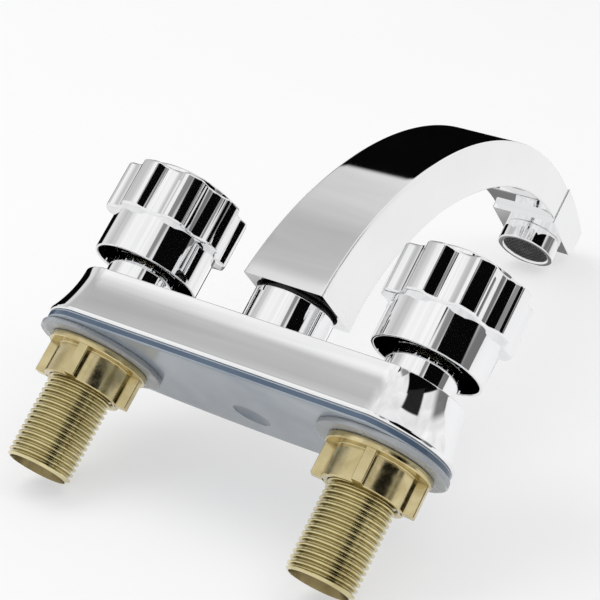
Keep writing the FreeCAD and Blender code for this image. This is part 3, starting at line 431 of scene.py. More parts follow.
SLOT_MATERIALS = {
    "chrome": CHROME, "brass": BRASS, "steel": STEEL, "rubber": RUBBER, "ceramic": CERAMIC,
    "white_plastic": WHITE_PLASTIC, "dark_plastic": DARK_PLASTIC, "clear_plastic": CLEAR_PLASTIC,
    "clear_washer": CLEAR_WASHER,
}


def dress_nodes():
    """Give every solid the material of its slot."""
    for entry in frame["record"]["subparts"]:
        node = frame["nodes"][entry["node"]]
        node.data.materials.clear()
        node.data.materials.append(SLOT_MATERIALS[entry["material_slot"]])


# Mesh helpers

class Shape:
    """Points in millimetres and faces, gathered ring by ring into one mesh."""

    def __init__(self):
        self.points = []
        self.faces = []
        self.finishes = []

    def ring(self, points):
        start = len(self.points)
        self.points.extend(points)
        return list(range(start, len(self.points)))

    def face(self, corners, finish=0):
        """Add a face whose finish is the number of its material."""
        self.faces.append(corners)
        self.finishes.append(finish)

    def bridge(self, low, high, finish):
        """Join two rings of the same length with four-sided faces."""
        count = len(low)
        for index in range(count):
            following = (index + 1) % count
            self.face((low[index], low[following], high[following], high[index]), finish)

    def stack(self, rings, finish=0, caps=True, loop=False):
        """Skin a run of rings, closed with caps or back onto its start."""
        placed = [self.ring(points) for points in rings]
        for low, high in zip(placed, placed[1:]):
            self.bridge(low, high, finish)
        if loop:
            self.bridge(placed[-1], placed[0], finish)
        elif caps:
            self.face(list(reversed(placed[0])), finish)
            self.face(placed[-1], finish)
        return placed

    def turned(self, profile, across=0.0, back=0.0, finish=0, loop=True):
        """Turn (radius, height) points about an upright axis."""
        self.stack([circle(radius, height, across, back) for radius, height in profile], finish, loop=loop)

    def second_finish(self, numbers):
        """Give these faces the second material."""
        for number in numbers:
            self.finishes[number] = 1

    def build(self, name, body, materials, *nodes, crease=CREASE_ANGLE):
        """Make the object, let it ride on its body and stand for its nodes."""
        mesh = bpy.data.meshes.new(name)
        mesh.from_pydata([(x * MM, y * MM, z * MM) for x, y, z in self.points], [], self.faces)
        for material in materials:
            mesh.materials.append(material)
        mesh.polygons.foreach_set("material_index", self.finishes)
        work = bmesh.new()
        work.from_mesh(mesh)
        bmesh.ops.recalc_face_normals(work, faces=work.faces)
        work.to_mesh(mesh)
        work.free()
        mesh.polygons.foreach_set("use_smooth", [True] * len(mesh.polygons))
        mesh.set_sharp_from_angle(angle=crease)
        mesh.update()
        piece = bpy.data.objects.new(name, mesh)
        bpy.context.scene.collection.objects.link(piece)
        even = piece.modifiers.new("even_shading", "WEIGHTED_NORMAL")
        even.keep_sharp = True
        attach(piece, body)
        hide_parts(*nodes)
        return piece


def circle(radius, height, across=0.0, back=0.0, sides=ROUND_STEPS):
    """Level ring of points about an upright axis."""
    turns = [FULL_CIRCLE * side / sides for side in range(sides)]
    return [(across + radius * math.cos(turn), back + radius * math.sin(turn), height) for turn in turns]


def at_height(outline, height):
    return [(x, y, height) for x, y in outline]


def arc(centre, radius, begin, finish, steps):
    """Points along an arc, both ends included."""
    return [(centre[0] + radius * math.cos(begin + (finish - begin) * step / steps),
             centre[1] + radius * math.sin(begin + (finish - begin) * step / steps))
            for step in range(steps + 1)]


def soft_edge(radius, steps):
    """Quarter circle as (inset, rise) points, from the level face to the upright one."""
    leans = [math.pi / 2 * step / steps for step in range(steps + 1)]
    return [(radius * (1 - math.sin(lean)), radius * (1 - math.cos(lean))) for lean in leans]


def rounded(points, radius=SMALL_EDGE, closed=True, steps=EDGE_STEPS):
    """Replace each corner of a line of points with a short curve."""
    result = []
    count = len(points)
    for index, point in enumerate(points):
        if not closed and index in (0, count - 1):
            result.append(tuple(point))
            continue
        corner = Vector(point)
        back = Vector(points[index - 1]) - corner
        ahead = Vector(points[(index + 1) % count]) - corner
        reach = min(radius, back.length * CORNER_REACH, ahead.length * CORNER_REACH)
        start = corner + back.normalized() * reach
        end = corner + ahead.normalized() * reach
        for step in range(steps + 1):
            share = step / steps
            curve = start * (1 - share) ** 2 + corner * (2 * share * (1 - share)) + end * share ** 2
            result.append(tuple(curve))
    return result


def drawn_in(outline, inset):
    """Closed outline moved inwards along its own normals. Its points run anticlockwise."""
    result = []
    count = len(outline)
    for index in range(count):
        before = Vector(outline[index - 1])
        after = Vector(outline[(index + 1) % count])
        along = (after - before).normalized()
        here = Vector(outline[index])
        result.append(tuple(here + Vector((-along.y, along.x)) * inset))
    return result


# Body and plate

def plan_points(inset):
    """The deck plan: straight back with creased corners, round ends and a bowed front."""
    end_radius = END_ROUND - inset
    back_line = BACK_EDGE - inset
    reach = FRONT_EDGE - END_ROUND
    front_centre = (END_OUT ** 2 + END_BACK ** 2 - reach ** 2) / (2 * (reach + END_BACK))
    front_radius = front_centre + FRONT_EDGE - inset
    corner = math.asin((back_line - END_BACK) / end_radius)
    join = math.atan2(END_BACK - front_centre, END_OUT)
    right = arc((END_OUT, END_BACK), end_radius, join, corner, PLAN_END_STEPS)
    left = [(-x, y) for x, y in reversed(right)]
    back = [(right[-1][0] + (left[0][0] - right[-1][0]) * step / PLAN_BACK_STEPS, back_line)
            for step in range(1, PLAN_BACK_STEPS)]
    front = arc((0, front_centre), front_radius, math.pi - join - FULL_CIRCLE, join, PLAN_FRONT_STEPS)
    return right + back + left + front[1:-1]


def flank_profile(base):
    """Line up the body's side as (inset, height) points: rounded lip, cove and top edge."""
    cove = [(0.0, base + LIP_ROUND + LIP_FLAT)]
    for step in range(COVE_STEPS + 1):
        share = 1 - step / COVE_STEPS
        cove.append((COVE_FLARE * (1 - share ** COVE_POWER), base + LIP_HIGH + COVE_HIGH * (1 - share)))
    lip = [(inset, base + rise) for inset, rise in soft_edge(LIP_ROUND, LIP_STEPS)]
    corner = rounded(cove[:3], LIP_CORNER, closed=False)
    top = rounded([cove[-2], cove[-1], (COVE_FLARE + TOP_EDGE_RUN, BODY_TOP)], TOP_EDGE, closed=False)
    return lip + corner[:-1] + cove[2:-2] + top


def make_body():
    """Flared chrome body, hollow below, with its bosses and the duct between them."""
    shape = Shape()
    base = PLATE_THICK
    inner = COVE_FLARE + BODY_WALL
    profile = [(inner, BODY_TOP - BODY_ROOF), (inner, base)] + flank_profile(base)
    placed = shape.stack([at_height(plan_points(inset), height) for inset, height in profile])
    inner_wall = range(len(placed[0]))
    # The cap of the inner end is the last face but one.
    inner_roof = len(shape.faces) - 2
    shape.second_finish([*inner_wall, inner_roof])
    foot = base + FOOT_HIGH
    roof = BODY_TOP - BODY_ROOF + BOSS_LAP
    for side in SIDES.values():
        shape.turned([(VALVE_BOSS_ROUND, foot), (VALVE_BOSS_ROUND, roof)], HALF_SPACING * side, finish=1,
                     loop=False)
    shape.turned([(SPOUT_BOSS_ROUND, base), (SPOUT_BOSS_ROUND, roof)], back=SPOUT_BACK, finish=1,
                 loop=False)
    duct = [(-HALF_SPACING, -DUCT_HALF), (HALF_SPACING, -DUCT_HALF), (HALF_SPACING, DUCT_HALF),
            (-HALF_SPACING, DUCT_HALF)]
    shape.stack([at_height(duct, foot + DUCT_RAISE), at_height(duct, roof)], finish=1)
    piece = shape.build("body_skin", "faucet_body", (CHROME, CAST_CHROME), "body_casting")


def fill_flat(mesh, loops):
    """Fill a flat outline that has holes, given as loops of point numbers."""
    work = bmesh.new()
    work.from_mesh(mesh)
    work.verts.ensure_lookup_table()
    edges = []
    for loop in loops:
        points = [work.verts[number] for number in loop]
        edges += [work.edges.get((points[index - 1], point)) for index, point in enumerate(points)]
    bmesh.ops.triangle_fill(work, use_beauty=True, edges=edges)
    bmesh.ops.recalc_face_normals(work, faces=work.faces)
    for face in work.faces:
        face.smooth = True
    work.to_mesh(mesh)
    work.free()
    mesh.set_sharp_from_angle(angle=CREASE_ANGLE)


def make_plate():
    """Milky plastic plate with a dimple, its edges softened and its upright side darkened with painted
    shade.
    """
    shape = Shape()
    rim = rounded([(PLATE_RIM, 0.0), (0.0, 0.0), (0.0, PLATE_THICK), (PLATE_RIM, PLATE_THICK)], PLATE_EDGE,
                  closed=False)
    placed = shape.stack([at_height(plan_points(inset + PLATE_INSET), height) for inset, height in rim],
                         caps=False)
    count = len(placed[0])
    # The upright side is the row of faces after the first corner's curve.
    upright_row = EDGE_STEPS + 1
    # The upright side takes the darker plastic: painted shade.
    shape.second_finish(range(upright_row * count, (upright_row + 1) * count))
    shape.face(placed[-1])
    leans = [math.pi / 2 * step / DIMPLE_STEPS for step in range(DIMPLE_STEPS)]
    pit = shape.stack([circle(DIMPLE_ROUND * math.cos(lean), DIMPLE_DEEP * math.sin(lean), back=DIMPLE_BACK,
                              sides=DIMPLE_SIDES) for lean in leans], caps=False)
    shape.face(pit[-1])
    piece = shape.build("plate_skin", "faucet_body", (CLEAR_PLASTIC, SHADED_PLASTIC_EDGE), "base_plate")
    fill_flat(piece.data, [placed[0], pit[0]])


# Inlets

def thread_radius(height, share):
    """Radius of the right-hand thread at a height above its end and a share of a turn."""
    phase = (height / THREAD_PITCH - share) % 1.0
    flank = min(max(abs(2 * phase - 1) * THREAD_STEEPNESS - THREAD_ROOT, 0.0), 1.0)
    crest = flank * flank * (3 - 2 * flank)
    end_limit = SHANK_ROUND - SHANK_CHAMFER + height * SHANK_CHAMFER_SLOPE
    return min(SHANK_ROUND - THREAD_DEEP * (1 - crest), end_limit)


def make_shank(hand, side):
    """Brass inlet with a helical thread down its free length."""
    shape = Shape()
    across = HALF_SPACING * side
    bottom = -SHANK_BELOW
    thread_top = -(WASHER_THICK + NUT_HIGH) + THREAD_PITCH
    rows = int((thread_top - bottom) / THREAD_PITCH * THREAD_ROWS)
    rings = []
    for row in range(rows + 1):
        height = bottom + (thread_top - bottom) * row / rows
        ring = []
        for step in range(ROUND_STEPS):
            share = step / ROUND_STEPS
            radius = thread_radius(height - bottom, share)
            turn = FULL_CIRCLE * share
            ring.append((across + radius * math.cos(turn), radius * math.sin(turn), height))
        rings.append(ring)
    plain = [(SHANK_RELIEVED, thread_top + THREAD_RUN_OUT), (SHANK_RELIEVED, SHANK_TOP),
             (SHANK_BORE, SHANK_TOP)]
    bore = rounded([(SHANK_BORE, SHANK_TOP - SHANK_TOP_STEP), (SHANK_BORE, bottom + SHANK_MOUTH_DEEP),
                    (SHANK_MOUTH, bottom)], closed=False)
    bore_row = len(rings) + len(plain) - 1
    rings += [circle(radius, height, across) for radius, height in plain + bore]
    shape.stack(rings, loop=True)
    # The bore takes the darker brass: painted shade inside it.
    shape.second_finish(range(bore_row * ROUND_STEPS, (len(rings) - 1) * ROUND_STEPS))
    piece = shape.build(f"{hand}_threaded_shank", "faucet_body", (BRASS, SHADED_BORE_BRASS), f"{hand}_inlet_shank",
                        crease=THREAD_CREASE_ANGLE)


def make_washer(hand, side):
    """Milky washer with soft edges."""
    shape = Shape()
    inner = SHANK_ROUND + WASHER_PLAY
    profile = rounded([(inner, 0.0), (inner, -WASHER_THICK), (WASHER_ROUND, -WASHER_THICK),
                       (WASHER_ROUND, 0.0)], WASHER_EDGE)
    shape.turned(profile, HALF_SPACING * side)
    piece = shape.build(f"{hand}_washer_skin", f"{hand}_washer", (CLEAR_WASHER,), f"{hand}_washer")


def add_lug(shape, turn, low, high, across):
    """Lug that points outwards at an angle, with its upright and lower edges softened."""
    near = NUT_HUB_ROUND - NUT_LUG_ROOT
    half = NUT_LUG_THICK / 2
    outline = rounded([(near, -half), (NUT_LUG_ROUND, -half), (NUT_LUG_ROUND, half), (near, half)],
                      NUT_LUG_CORNER)
    swung = [(across + x * math.cos(turn) - y * math.sin(turn), x * math.sin(turn) + y * math.cos(turn))
             for x, y in outline]
    middle = SMALL_EDGE * NUT_LUG_EDGE_MIDDLE
    levels = [(SMALL_EDGE, low), (middle, low + middle), (0.0, low + SMALL_EDGE), (0.0, high)]
    shape.stack([at_height(drawn_in(swung, inset), height) for inset, height in levels])


def make_nut(hand, side):
    """Cast brass lock nut with a flange and four lugs."""
    shape = Shape()
    across = HALF_SPACING * side
    top = -WASHER_THICK
    bottom = top - NUT_HIGH
    under = top - NUT_FLANGE_THICK
    profile = rounded([(NUT_HOLE, bottom + NUT_HOLE_CHAMFER), (NUT_HOLE + NUT_HOLE_CHAMFER, bottom),
                       (NUT_HUB_ROUND, bottom), (NUT_HUB_ROUND, under), (NUT_FLANGE_ROUND, under),
                       (NUT_FLANGE_ROUND, top), (NUT_HOLE, top)], NUT_EDGE)
    shape.turned(profile, across)
    for lug in range(NUT_LUGS):
        turn = math.radians(NUT_LUG_TURN) + FULL_CIRCLE * lug / NUT_LUGS
        add_lug(shape, turn, bottom, under + NUT_LUG_LAP, across)
    piece = shape.build(f"{hand}_nut_skin", f"{hand}_lock_nut", (CAST_BRASS,), f"{hand}_lock_nut")


# Handles

def polar(radius, angle):
    return Vector((radius * math.cos(angle), radius * math.sin(angle)))


def bearing(start, end):
    """Angle of the line from one point to another."""
    run = end - start
    return math.atan2(run.y, run.x)


def nearest_turn(start, end):
    """Shorter way round from one angle to another."""
    return (end - start + math.pi) % FULL_CIRCLE - math.pi


def crown_points():
    """Outline of the fluted crown about its own centre: flute, fillet, lobe and fillet in turn."""
    flute_out = CROWN_ROUND + FLUTE_ROUND - FLUTE_DEEP
    lobe_out = CROWN_ROUND - LOBE_FILLET
    between = FLUTE_ROUND + LOBE_FILLET
    lean = math.acos((lobe_out ** 2 + flute_out ** 2 - between ** 2) / (2 * lobe_out * flute_out))
    step_round = FULL_CIRCLE / KNOB_LOBES
    outline = []
    for lobe in range(KNOB_LOBES):
        middle = math.radians(KNOB_LOBE_TURN) + FULL_CIRCLE * lobe / KNOB_LOBES
        lobe_start = middle + lean
        lobe_end = middle + step_round - lean
        flute = polar(flute_out, middle)
        before, after, following = [polar(lobe_out, turn) for turn in (middle - lean, lobe_start, lobe_end)]
        start = bearing(flute, before)
        end = bearing(flute, after)
        inward = end + math.pi
        sweep = nearest_turn(inward, lobe_start)
        closing = nearest_turn(lobe_end, bearing(following, polar(flute_out, middle + step_round)))
        outline += arc(flute, FLUTE_ROUND, start, start - (start - end) % FULL_CIRCLE, FLUTE_STEPS)
        outline += arc(after, LOBE_FILLET, inward, inward + sweep, FILLET_STEPS)[1:]
        outline += arc((0, 0), CROWN_ROUND, lobe_start, lobe_end, LOBE_STEPS)[1:-1]
        outline += arc(following, LOBE_FILLET, lobe_end, lobe_end + closing, FILLET_STEPS)[:-1]
    return outline


def make_knob(hand, side):
    """Fluted chrome crown over a round skirt, hollow below, open on top for its cap."""
    shape = Shape()
    across = HALF_SPACING * side
    outline = crown_points()
    turns = [math.atan2(y, x) for x, y in outline]

    def plain(radius, height):
        return [(across + radius * math.cos(turn), radius * math.sin(turn), height) for turn in turns]

    def lobed(inset, height):
        return [(across + x, y, height) for x, y in drawn_in(outline, inset)]

    skirt_low = BODY_TOP + SKIRT_GAP
    inner = SKIRT_ROUND - SKIRT_WALL
    roof = CROWN_TOP - KNOB_ROOF
    skirt = [(KNOB_CENTRE, roof), (inner, roof), (inner, skirt_low + SKIRT_BEVEL_HIGH),
             (SKIRT_ROUND - SKIRT_RIM, skirt_low), (SKIRT_ROUND, skirt_low), (SKIRT_ROUND, CROWN_BOTTOM)]
    rings = [plain(radius, height) for radius, height in rounded(skirt, SKIRT_EDGE, closed=False)]
    edge = soft_edge(CROWN_EDGE, CROWN_EDGE_STEPS)
    rings += [lobed(inset, CROWN_BOTTOM + rise) for inset, rise in edge]
    rings += [lobed(inset, CROWN_TOP - rise) for inset, rise in reversed(edge)]
    seat_round = CAP_ROUND + CAP_SEAT_PLAY
    rings += [plain(seat_round, CROWN_TOP), plain(seat_round, CAP_SEAT), plain(KNOB_CENTRE, CAP_SEAT)]
    shape.stack(rings)
    piece = shape.build(f"{hand}_knob_skin", f"{hand}_handle", (CHROME,), f"{hand}_knob")


def make_cap(hand, side):
    """Thin, slightly domed cap."""
    shape = Shape()
    rim = CROWN_TOP + CAP_RIM_HIGH
    ball = (CAP_ROUND ** 2 + CAP_DOME_HIGH ** 2) / (2 * CAP_DOME_HIGH)
    crest = rim + CAP_DOME_HIGH
    radii = [(CAP_ROUND - CAP_RIM_WIDE) * (1 - step / DOME_STEPS) for step in range(DOME_STEPS)]
    dome = [(radius, crest - ball + math.sqrt(ball ** 2 - radius ** 2)) for radius in radii]
    side_line = rounded([(CAP_ROUND, CAP_SEAT + CAP_BEVEL_HIGH), (CAP_ROUND, rim), dome[0]], CAP_EDGE,
                        closed=False)
    below = [(CAP_CENTRE, CAP_SEAT), (CAP_ROUND - CAP_BEVEL_WIDE, CAP_SEAT)]
    shape.turned(below + side_line + dome[1:] + [(CAP_CENTRE, crest)], HALF_SPACING * side, loop=False)
    piece = shape.build(f"{hand}_cap_skin", f"{hand}_handle", (CHROME,), f"{hand}_index_cap")


def make_bonnet(hand, side):
    """Chrome collar below the knob."""
    shape = Shape()
    top = BODY_TOP + BONNET_HIGH
    inner = BONNET_ROUND - BONNET_WALL
    profile = [(inner, BODY_TOP), (BONNET_ROUND, BODY_TOP), (BONNET_ROUND, top), (BONNET_HOLE, top),
               (BONNET_HOLE, top - BONNET_WALL), (inner, top - BONNET_WALL)]
    shape.turned(rounded(profile, BONNET_EDGE), HALF_SPACING * side)
    piece = shape.build(f"{hand}_bonnet_skin", "faucet_body", (CHROME,), f"{hand}_bonnet")


# Spout

def make_collar():
    """Chrome collar with a narrower band, painted near-black as shade, where the spout turns."""
    shape = Shape()
    top = BODY_TOP + COLLAR_TOP
    band_low = BODY_TOP + COLLAR_GAP - COLLAR_BAND_HIGH
    band = COLLAR_ROUND - COLLAR_BAND_STEP
    profile = [(COLLAR_HOLE, BODY_TOP), (COLLAR_ROUND, BODY_TOP), (COLLAR_ROUND, band_low),
               (band, band_low + COLLAR_BAND_BEVEL), (band, top), (COLLAR_HOLE, top)]
    shape.turned(rounded(profile, COLLAR_EDGE), back=SPOUT_BACK)
    lowest = [min(shape.points[corner][2] for corner in corners) for corners in shape.faces]
    # The band inside the spout's recess takes the near-black metal: painted shade.
    shape.second_finish([number for number, height in enumerate(lowest) if height > band_low])
    piece = shape.build("collar_skin", "faucet_body", (CHROME, PAINTED_SHADE_METAL), "spout_collar")


def make_slip_ring():
    """Ring between the collar and the spout, painted near-black as the shade of the recess."""
    shape = Shape()
    low = BODY_TOP + COLLAR_TOP
    high = low + SLIP_RING_THICK
    shape.turned([(COLLAR_HOLE, low), (SLIP_RING_ROUND, low), (SLIP_RING_ROUND, high), (COLLAR_HOLE, high)],
                 back=SPOUT_BACK)
    piece = shape.build("slip_ring_skin", "faucet_body", (PAINTED_SHADE_METAL,), "spout_slip_ring")


def arch_section(width, depth):
    """Rounded rectangle with points all along its sides."""
    corners = [(width / 2, -depth / 2), (width / 2, depth / 2), (-width / 2, depth / 2),
               (-width / 2, -depth / 2)]
    outline = rounded(corners, ARCH_EDGE, steps=ARCH_EDGE_STEPS)
    section = []
    for index, point in enumerate(outline):
        section.append(Vector(point))
        if index % (ARCH_EDGE_STEPS + 1) == ARCH_EDGE_STEPS:
            following = Vector(outline[(index + 1) % len(outline)])
            section += [Vector(point).lerp(following, step / ARCH_SIDE_STEPS)
                        for step in range(1, ARCH_SIDE_STEPS)]
    return section


def arch_ring(share):
    """Section across the arch, at a share of the way along it."""
    angle = share * math.pi / 2
    forward = SPOUT_REACH - HEAD_BACK
    middle = Vector((0, SPOUT_BACK - forward * (1 - math.cos(angle)) ** ARCH_FULLNESS,
                     BODY_TOP + COLLAR_GAP + ARCH_RISE * math.sin(angle)))
    # The formula of the slope fails at either end.
    if share == 0:
        lean = 0.0
    elif share == 1:
        lean = math.pi / 2
    else:
        slope = ARCH_FULLNESS * (1 - math.cos(angle)) ** (ARCH_FULLNESS - 1) * math.tan(angle)
        lean = math.atan(forward * slope / ARCH_RISE)
    out = Vector((0, math.cos(lean), math.sin(lean)))
    depth = ARCH_DEPTH_BASE + (ARCH_DEPTH_TIP - ARCH_DEPTH_BASE) * share ** ARCH_THINNING
    spare = (ARCH_WIDTH_BASE - ARCH_WIDTH_TIP) * (1 - share) ** ARCH_NARROWING
    section = arch_section(ARCH_WIDTH_TIP + spare, depth)
    return [tuple(middle + Vector((point.x, 0, 0)) + out * point.y) for point in section]


def recess_rings(foot):
    """Rings of the round recess below the spout, from its socket down to the foot's outline."""
    rim = []
    for x, y, z in foot:
        turn = math.atan2(y - SPOUT_BACK, x)
        reach = min(RECESS_ROUND, math.hypot(x, y - SPOUT_BACK) - RECESS_RIM)
        rim.append((reach * math.cos(turn), SPOUT_BACK + reach * math.sin(turn), z))

    def shrunk(ring, share, rise):
        return [(x * share, SPOUT_BACK + (y - SPOUT_BACK) * share, z + rise) for x, y, z in ring]

    deep = shrunk(rim, RECESS_TAPER, RECESS_DEEP)
    return [shrunk(deep, SOCKET_SHARE, 0.0), deep, rim]


def head_points():
    """Side view of the head as (y, z) points that run anticlockwise."""
    back = OUTLET_BACK + HEAD_BACK
    nose = OUTLET_BACK - HEAD_NOSE
    run = back - nose
    ball = (run ** 2 + HEAD_DROP ** 2) / (2 * HEAD_DROP)
    lean = math.asin(run / ball)
    crown = arc((back, HEAD_TOP - ball), ball, math.pi / 2, math.pi / 2 + lean, HEAD_CROWN_STEPS)
    front = rounded([crown[-2], crown[-1], (nose, HEAD_BOTTOM + HEAD_CHAMFER),
                     (nose + HEAD_CHAMFER, HEAD_BOTTOM), (back, HEAD_BOTTOM)], HEAD_EDGE, closed=False)
    return crown[:-2] + front[1:]


def make_spout():
    """Arched rectangular spout with its head."""
    shape = Shape()
    shares = [(station / ARCH_STATIONS) ** ARCH_CROWDING for station in range(ARCH_STATIONS + 1)]
    rings = [arch_ring(share) for share in shares]
    recess = recess_rings(rings[0])
    shape.stack(recess + rings)
    # The recess under the arch takes the near-black metal: painted shade.
    shape.second_finish(range((len(recess) - 1) * len(rings[0])))
    half = ARCH_WIDTH_TIP / 2 + HEAD_STEP
    outline = head_points()
    edge = soft_edge(HEAD_EDGE, HEAD_EDGE_STEPS)
    levels = [(inset, -half + rise) for inset, rise in edge]
    levels += [(inset, half - rise) for inset, rise in reversed(edge)]
    shape.stack([[(across, y, z) for y, z in drawn_in(outline, inset)] for inset, across in levels])
    piece = shape.build("spout_skin", "spout", (CHROME, PAINTED_SHADE_METAL), "spout_shell")


def make_aerator():
    """Chrome outlet barrel."""
    shape = Shape()
    profile = [(AERATOR_BORE, AERATOR_LOW + AERATOR_BEVEL_HIGH),
               (AERATOR_BORE + AERATOR_BEVEL_WIDE, AERATOR_LOW), (AERATOR_ROUND, AERATOR_LOW),
               (AERATOR_ROUND, HEAD_BOTTOM), (AERATOR_BORE, HEAD_BOTTOM)]
    shape.turned(rounded(profile, AERATOR_EDGE), back=OUTLET_BACK)
    piece = shape.build("aerator_skin", "spout", (CHROME,), "aerator_housing")


def wire_ring(run, offset, level, wire, way):
    """Ring of points round a wire of the screen, which runs along X or along Y."""
    ring = []
    for side in range(WIRE_SIDES):
        turn = FULL_CIRCLE * side / WIRE_SIDES
        aside = offset + wire * math.cos(turn)
        x, y = (run, aside) if way == 0 else (aside, run)
        ring.append((x, OUTLET_BACK + y, level + wire * math.sin(turn)))
    return ring


def make_screen():
    """Woven mesh just inside the outlet, each wire passing over and under the others."""
    shape = Shape()
    pitch = 2 * SCREEN_ROUND / SCREEN_WIRES
    wire = pitch * WIRE_SHARE
    level = AERATOR_LOW + SCREEN_INSET
    for way in (0, 1):
        for number in range(SCREEN_WIRES):
            offset = (number - (SCREEN_WIRES - 1) / 2) * pitch
            half = math.sqrt(SCREEN_ROUND ** 2 - offset ** 2)
            steps = int(half * 2 / pitch * WIRE_STEPS)
            rings = []
            for step in range(steps + 1):
                run = -half + 2 * half * step / steps
                weave = math.cos(math.pi * (run / pitch + number + way)) * wire
                rings.append(wire_ring(run, offset, level + weave, wire, way))
            shape.stack(rings)
    inner = SCREEN_ROUND - SCREEN_WALL
    low = level - wire
    high = level + SCREEN_WALL_HIGH
    shape.turned([(inner, low), (SCREEN_ROUND, low), (SCREEN_ROUND, high), (inner, high)], back=OUTLET_BACK)
    piece = shape.build("screen_weave", "spout", (WIRE,), "aerator_screen")


# Floor, light and camera

# Places are in metres, in the faucet's own frame. The faucet lies on its side, so the floor is tilted.
FLOOR_UP = Vector((0.0, 0.785, 0.62)).normalized()
FLOOR_LEVEL = -0.0335
FLOOR_HALF = 1.6
FLOOR_GLOW = 0.6
FLOOR_OPEN_FROM = 0.06
FLOOR_OPEN_WHOLLY = 0.065
BACKDROP_COLOUR = (*grey(0.9, 0.003), 1)
SOFT_COLOUR = (*grey(0.95, 0.004), 1)
SOFT_STRENGTH = 0.76
STUDIO_TONE = 0.9
CLOUD_DARK = 0.84
CLOUD_LIGHT = 1.06
LAMP_AIM = Vector((0.0, -0.05, 0.05))
LAMP_PROPORTION = 0.7
CAMERA_PLACE = Vector((-0.27039, 0.43643, -0.11518))
CAMERA_RIGHT = Vector((-0.82472, -0.35130, 0.44319))
CAMERA_DOWN = Vector((-0.26373, -0.45432, -0.85090))
CAMERA_AHEAD = Vector((0.50028, -0.81864, 0.28204))
FOCAL_PIXELS = 1795.56
PICTURE_WIDTH = 600
SENSOR_WIDTH = 36.0


def turned_to(right, up, place):
    """Matrix of an object whose own axes are right, up and their normal."""
    axes = Matrix((right, up, right.cross(up))).transposed()
    return Matrix.Translation(place) @ axes.to_4x4()


def floor_axes():
    """Level directions of the floor: away from the camera, and to its right."""
    ahead = CAMERA_AHEAD - FLOOR_UP * CAMERA_AHEAD.dot(FLOOR_UP)
    ahead.normalize()
    return ahead, ahead.cross(FLOOR_UP)


def from_floor(azimuth, elevation):
    """Direction given by its angle from the camera's side, to the right, and its height."""
    ahead, right = floor_axes()
    level = -ahead * math.cos(math.radians(azimuth)) + right * math.sin(math.radians(azimuth))
    rise = math.radians(elevation)
    return (level * math.cos(rise) + FLOOR_UP * math.sin(rise)).normalized()


def floor_material():
    """Pale floor that keeps shadows. It is clear from below and absent from mirrors behind the faucet."""
    nodes = Nodes("floor")
    nodes.set(Roughness=0.75, Specular_IOR_Level=0.2)
    nodes.drive(nodes.tinted(nodes.noise(scale=3.0, detail=2.0), grey(0.86), grey(0.9)), "Base Color")
    glow = nodes.add("ShaderNodeEmission")
    glow.inputs["Color"].default_value = BACKDROP_COLOUR
    ray = nodes.add("ShaderNodeLightPath").outputs
    seen = nodes.maths("MAXIMUM", ray["Is Camera Ray"], ray["Is Glossy Ray"])
    seen = nodes.maths("MAXIMUM", seen, ray["Is Transmission Ray"])
    share = nodes.maths("MULTIPLY", seen, FLOOR_GLOW)
    lit = nodes.mixed(share, nodes.shader.outputs["BSDF"], glow.outputs["Emission"])
    spot = nodes.add("ShaderNodeSeparateXYZ")
    nodes.link(nodes.place, spot.inputs["Vector"])
    behind = nodes.ranged(spot.outputs["Y"], 0.0, 1.0, FLOOR_OPEN_FROM, FLOOR_OPEN_WHOLLY)
    mirrored = nodes.maths("MULTIPLY", behind, ray["Is Glossy Ray"])
    below = nodes.add("ShaderNodeNewGeometry").outputs["Backfacing"]
    clear = nodes.add("ShaderNodeBsdfTransparent").outputs["BSDF"]
    one_way = nodes.mixed(nodes.maths("MAXIMUM", mirrored, below), lit, clear)
    nodes.link(one_way, nodes.output.inputs["Surface"])
    return nodes.material


def make_floor():
    """Level floor under the faucet as it lies."""
    mesh = bpy.data.meshes.new("floor")
    corners = [(-FLOOR_HALF, -FLOOR_HALF, 0), (FLOOR_HALF, -FLOOR_HALF, 0), (FLOOR_HALF, FLOOR_HALF, 0),
               (-FLOOR_HALF, FLOOR_HALF, 0)]
    mesh.from_pydata(corners, [], [(0, 1, 2, 3)])
    mesh.materials.append(floor_material())
    floor = bpy.data.objects.new("floor", mesh)
    bpy.context.scene.collection.objects.link(floor)
    ahead, right = floor_axes()
    floor.matrix_world = turned_to(right, ahead, FLOOR_UP * FLOOR_LEVEL)


class Panel(NamedTuple):
    """Patch of the studio: its sides and soft edge in degrees, as from_floor takes them, and its tone."""
    azimuths: tuple
    elevations: tuple
    tone: float
    edge: float


STUDIO = {
    "left_slope": Panel((-172, -112), (14, 74), tone=0.53, edge=20.0),
    "left_softbox": Panel((-112, 6), (26, 76), tone=0.96, edge=12.0),
    "right_softbox": Panel((104, 158), (-40, 34), tone=0.97, edge=3.0),
    "right_wall": Panel((62, 94), (-30, 16), tone=0.2, edge=5.0),
    "back_wall": Panel((-178, -166), (-4, 32), tone=0.24, edge=3.0),
    "dark_back": Panel((163, 184), (-42, 33), tone=0.002, edge=1.0),
    "dark_doorway": Panel((-167, -143), (-24, 7), tone=0.002, edge=1.0),
    "dark_screen": Panel((28, 66), (13, 57), tone=0.002, edge=1.0),
    "dark_edge": Panel((60, 92), (34, 56), tone=0.02, edge=1.5),
    "dark_beam": Panel((-2, 9), (65.5, 70.5), tone=0.002, edge=0.8),
    "grey_ceiling": Panel((9, 28), (56, 66), tone=0.3, edge=2.0),
    "grey_below": Panel((150, 208), (-82, -44), tone=0.2, edge=3.0),
}


